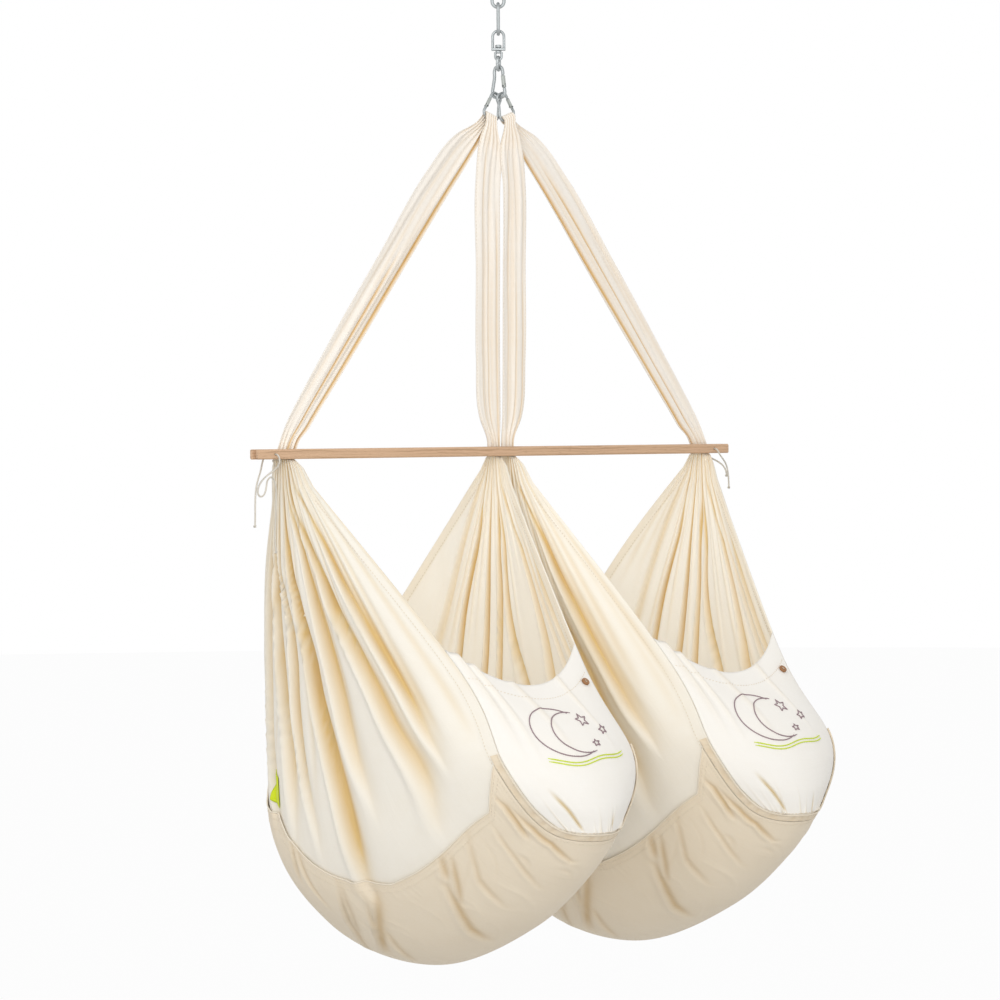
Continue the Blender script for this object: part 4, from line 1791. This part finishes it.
class CRADLE_OT_chain(bpy.types.Operator):
    """Adds the two chain links, the swivel and the connecting ring"""

    bl_idname = "cradle.chain"
    bl_label = "Chain and swivel"

    def execute(self, context):
        upper = chain_link("upper_link_wire", UPPER_LINK_TOP, UPPER_LINK_BOTTOM, LINK_WIDTH, LINK_WIRE,
                           LINK_FACE)
        finished(upper, "upper_link", "steel", "upper_chain_link")
        lower = chain_link("lower_link_wire", LOWER_LINK_TOP, LOWER_LINK_BOTTOM, LINK_WIDTH, LINK_WIRE,
                           LINK_EDGE)
        finished(lower, "lower_link", "steel", "lower_chain_link")
        ring = chain_link("connecting_ring_wire", RING_TOP, RING_BOTTOM, RING_WIDTH, RING_WIRE, RING_FACE)
        finished(ring, "ring", "steel", "connecting_ring")

        arch = wire("yoke_arch", bend_path(YOKE_TOP, CROSS_PIECE_Z, YOKE_WIDTH, LINK_FACE), YOKE_WIRE,
                    finish("steel"))
        cross = add_block("yoke_cross", CROSS_PIECE, 0.0013)
        cut(cross, [add_rod("bore", finish("steel"), SWIVEL_SHANK / 2 + CLEARANCE, 0.03)])
        cross.rotation_euler = (0, 0, CHAIN_TURN)
        cross.location = (0, 0, CROSS_PIECE_Z)
        yoke = joined("yoke_piece", [smoothed(arch, 60), smoothed(settled(cross))])
        finished(yoke, "yoke", "steel", "swivel_yoke")

        half = CROSS_PIECE[2] / 2 + CLEARANCE
        radius, height = SWIVEL_HEAD[0] / 2, SWIVEL_HEAD[1]
        shank = add_disc("shank", SWIVEL_SHANK / 2, half * 2 + 0.002, CROSS_PIECE_Z, 0.0002)
        head = add_disc("head", radius, height, CROSS_PIECE_Z + half + height / 2, 0.0012)
        collar_z = CROSS_PIECE_Z - half - SWIVEL_EYE_WIRE / 2
        collar = add_disc("collar", radius, SWIVEL_EYE_WIRE, collar_z, 0.0012)
        eye = wire("eye", bend_path(SWIVEL_EYE_BOTTOM, collar_z, SWIVEL_EYE_WIDTH, LINK_FACE),
                   SWIVEL_EYE_WIRE, finish("steel"))
        swivel = joined("swivel_piece", [smoothed(p) for p in (shank, head, collar)] + [smoothed(eye, 60)])
        finished(swivel, "turning_eye", "steel", "swivel_eye")
        return {"FINISHED"}


def snap_hook(name, top, face, up, pitch, width, diameter, gate_side):
    """Bent-wire snap hook, its sprung gate and its rivet."""
    normal = np.cross(face, up)

    def place(across, down):
        return top + face * (gate_side * across * width / 2) + up * (down * pitch)
    path = smooth_path([place(*share) for share in HOOK_OUTLINE_SHARES], 0.0011)
    nose, foot = path[0], path[-1]
    pivot = place(*PIVOT_SHARES)
    swell = np.ones(len(path))
    swell[:2] = (0.82, 0.95)
    hook = wire(name + "_hook_wire", path, diameter, finish("steel"), swell=swell)
    length = np.linalg.norm(pivot - foot) + diameter * 0.8
    tongue_along = (pivot - foot) / np.linalg.norm(pivot - foot)
    tongue = add_block("tongue", (length, diameter * 0.8, TONGUE_THICKNESS), 0.0005)
    placed(tongue, basis_at(foot + tongue_along * (length / 2 - diameter * 0.4), tongue_along, normal))
    hook = joined(name + "_hook_piece", [smoothed(hook, 60), smoothed(tongue)])

    along = nose - pivot
    reach = np.linalg.norm(along) - CLEARANCE * 2
    along /= np.linalg.norm(along)
    gate_width, gate_thickness = diameter * 0.9, diameter * 1.2
    heel = gate_width / 2
    gate = add_block(name + "_gate_piece", (reach + heel, gate_width, gate_thickness), 0.0011, "gate_steel")
    gate.location.x = (reach - heel) / 2
    settled(gate)
    slot = add_box("slot", finish("gate_steel"),
                   (diameter * 3.2, gate_width * 2, TONGUE_THICKNESS + CLEARANCE * 2),
                   (-diameter * 0.8, 0, 0))
    groove = add_box("groove", finish("gate_steel"),
                     (diameter * 0.5, gate_width * 0.28, gate_thickness * 2), (reach, 0, 0))
    cut(gate, [slot, groove])
    placed(smoothed(gate), basis_at(pivot, along, normal))

    half = gate_thickness / 2 + CLEARANCE
    parts = [add_disc("pin", RIVET_DIAMETER / 2, half * 2, 0, 0.0001, "dark_steel")]
    for way in (-1, 1):
        parts.append(add_disc("rivet_head", RIVET_DIAMETER * 0.85, RIVET_DIAMETER / 2,
                              way * (half + RIVET_DIAMETER / 4), 0.0004, "dark_steel"))
    rivet = placed(smoothed(joined(name + "_rivet_piece", parts)), basis_at(pivot, along, normal))
    return hook, gate, rivet


class CRADLE_OT_snap_hooks(bpy.types.Operator):
    """Adds the three snap hooks, each with its gate and rivet"""

    bl_idname = "cradle.snap_hooks"
    bl_label = "Snap hooks"

    def execute(self, context):
        top = np.array([0, 0, UPPER_HOOK_TOP])
        parts = snap_hook("upper", top, UPPER_HOOK_FACE, UP, UPPER_HOOK_PITCH, UPPER_HOOK_WIDTH,
                          UPPER_HOOK_WIRE, 1)
        pieces = [("upper", "upper_hook", parts)]
        for name, side in (("left", -1), ("right", 1)):
            tilt = side * LOWER_HOOK_TILT
            top = UPPER_HOOK_FACE * side * LOWER_HOOK_SPACING / 2 + (0, 0, LOWER_HOOK_TOP)
            face = np.array([math.cos(tilt), 0, math.sin(tilt)])
            up = np.array([-math.sin(tilt), 0, math.cos(tilt)])
            parts = snap_hook(name, top, face, up, LOWER_HOOK_PITCH, LOWER_HOOK_WIDTH, LOWER_HOOK_WIRE, side)
            pieces.append((name, "suspension", parts))
        for name, body, (hook, gate, rivet) in pieces:
            finished(hook, body, "steel", name + "_snap_hook")
            finished(gate, name + "_gate", "gate_steel", name + "_hook_gate")
            finished(rivet, body, "steel", name + "_gate_rivet")
        return {"FINISHED"}


class CRADLE_PT_panel(bpy.types.Panel):
    """Lists the cradle's pieces in the sidebar"""

    bl_idname = "CRADLE_PT_panel"
    bl_label = "Hanging twin cradle"
    bl_space_type = "VIEW_3D"
    bl_region_type = "UI"
    bl_category = "Cradle"

    def draw(self, context):
        for group in (context.scene.cradle_sizes, context.scene.cradle_lights):
            box = self.layout.box()
            for name in group.__annotations__:
                box.prop(group, name)
        for operator in OPERATORS:
            self.layout.operator(operator.bl_idname)


OPERATORS = (
    CRADLE_OT_stage, CRADLE_OT_tie_cords, CRADLE_OT_ceiling_plate, CRADLE_OT_chain, CRADLE_OT_snap_hooks,
    CRADLE_OT_spreader_bar, CRADLE_OT_straps, CRADLE_OT_cradles,
)
CLASSES = (CradleSizes, CradleLights, *OPERATORS, CRADLE_PT_panel)


def register():
    for cls in CLASSES:
        bpy.utils.register_class(cls)
    bpy.types.Scene.cradle_sizes = PointerProperty(type=CradleSizes)
    bpy.types.Scene.cradle_lights = PointerProperty(type=CradleLights)


def unregister():
    del bpy.types.Scene.cradle_lights
    del bpy.types.Scene.cradle_sizes
    for cls in reversed(CLASSES):
        bpy.utils.unregister_class(cls)


def main():
    register()
    for operator in OPERATORS:
        category, name = operator.bl_idname.split(".")
        getattr(getattr(bpy.ops, category), name)()


if __name__ == "__main__":
    main()
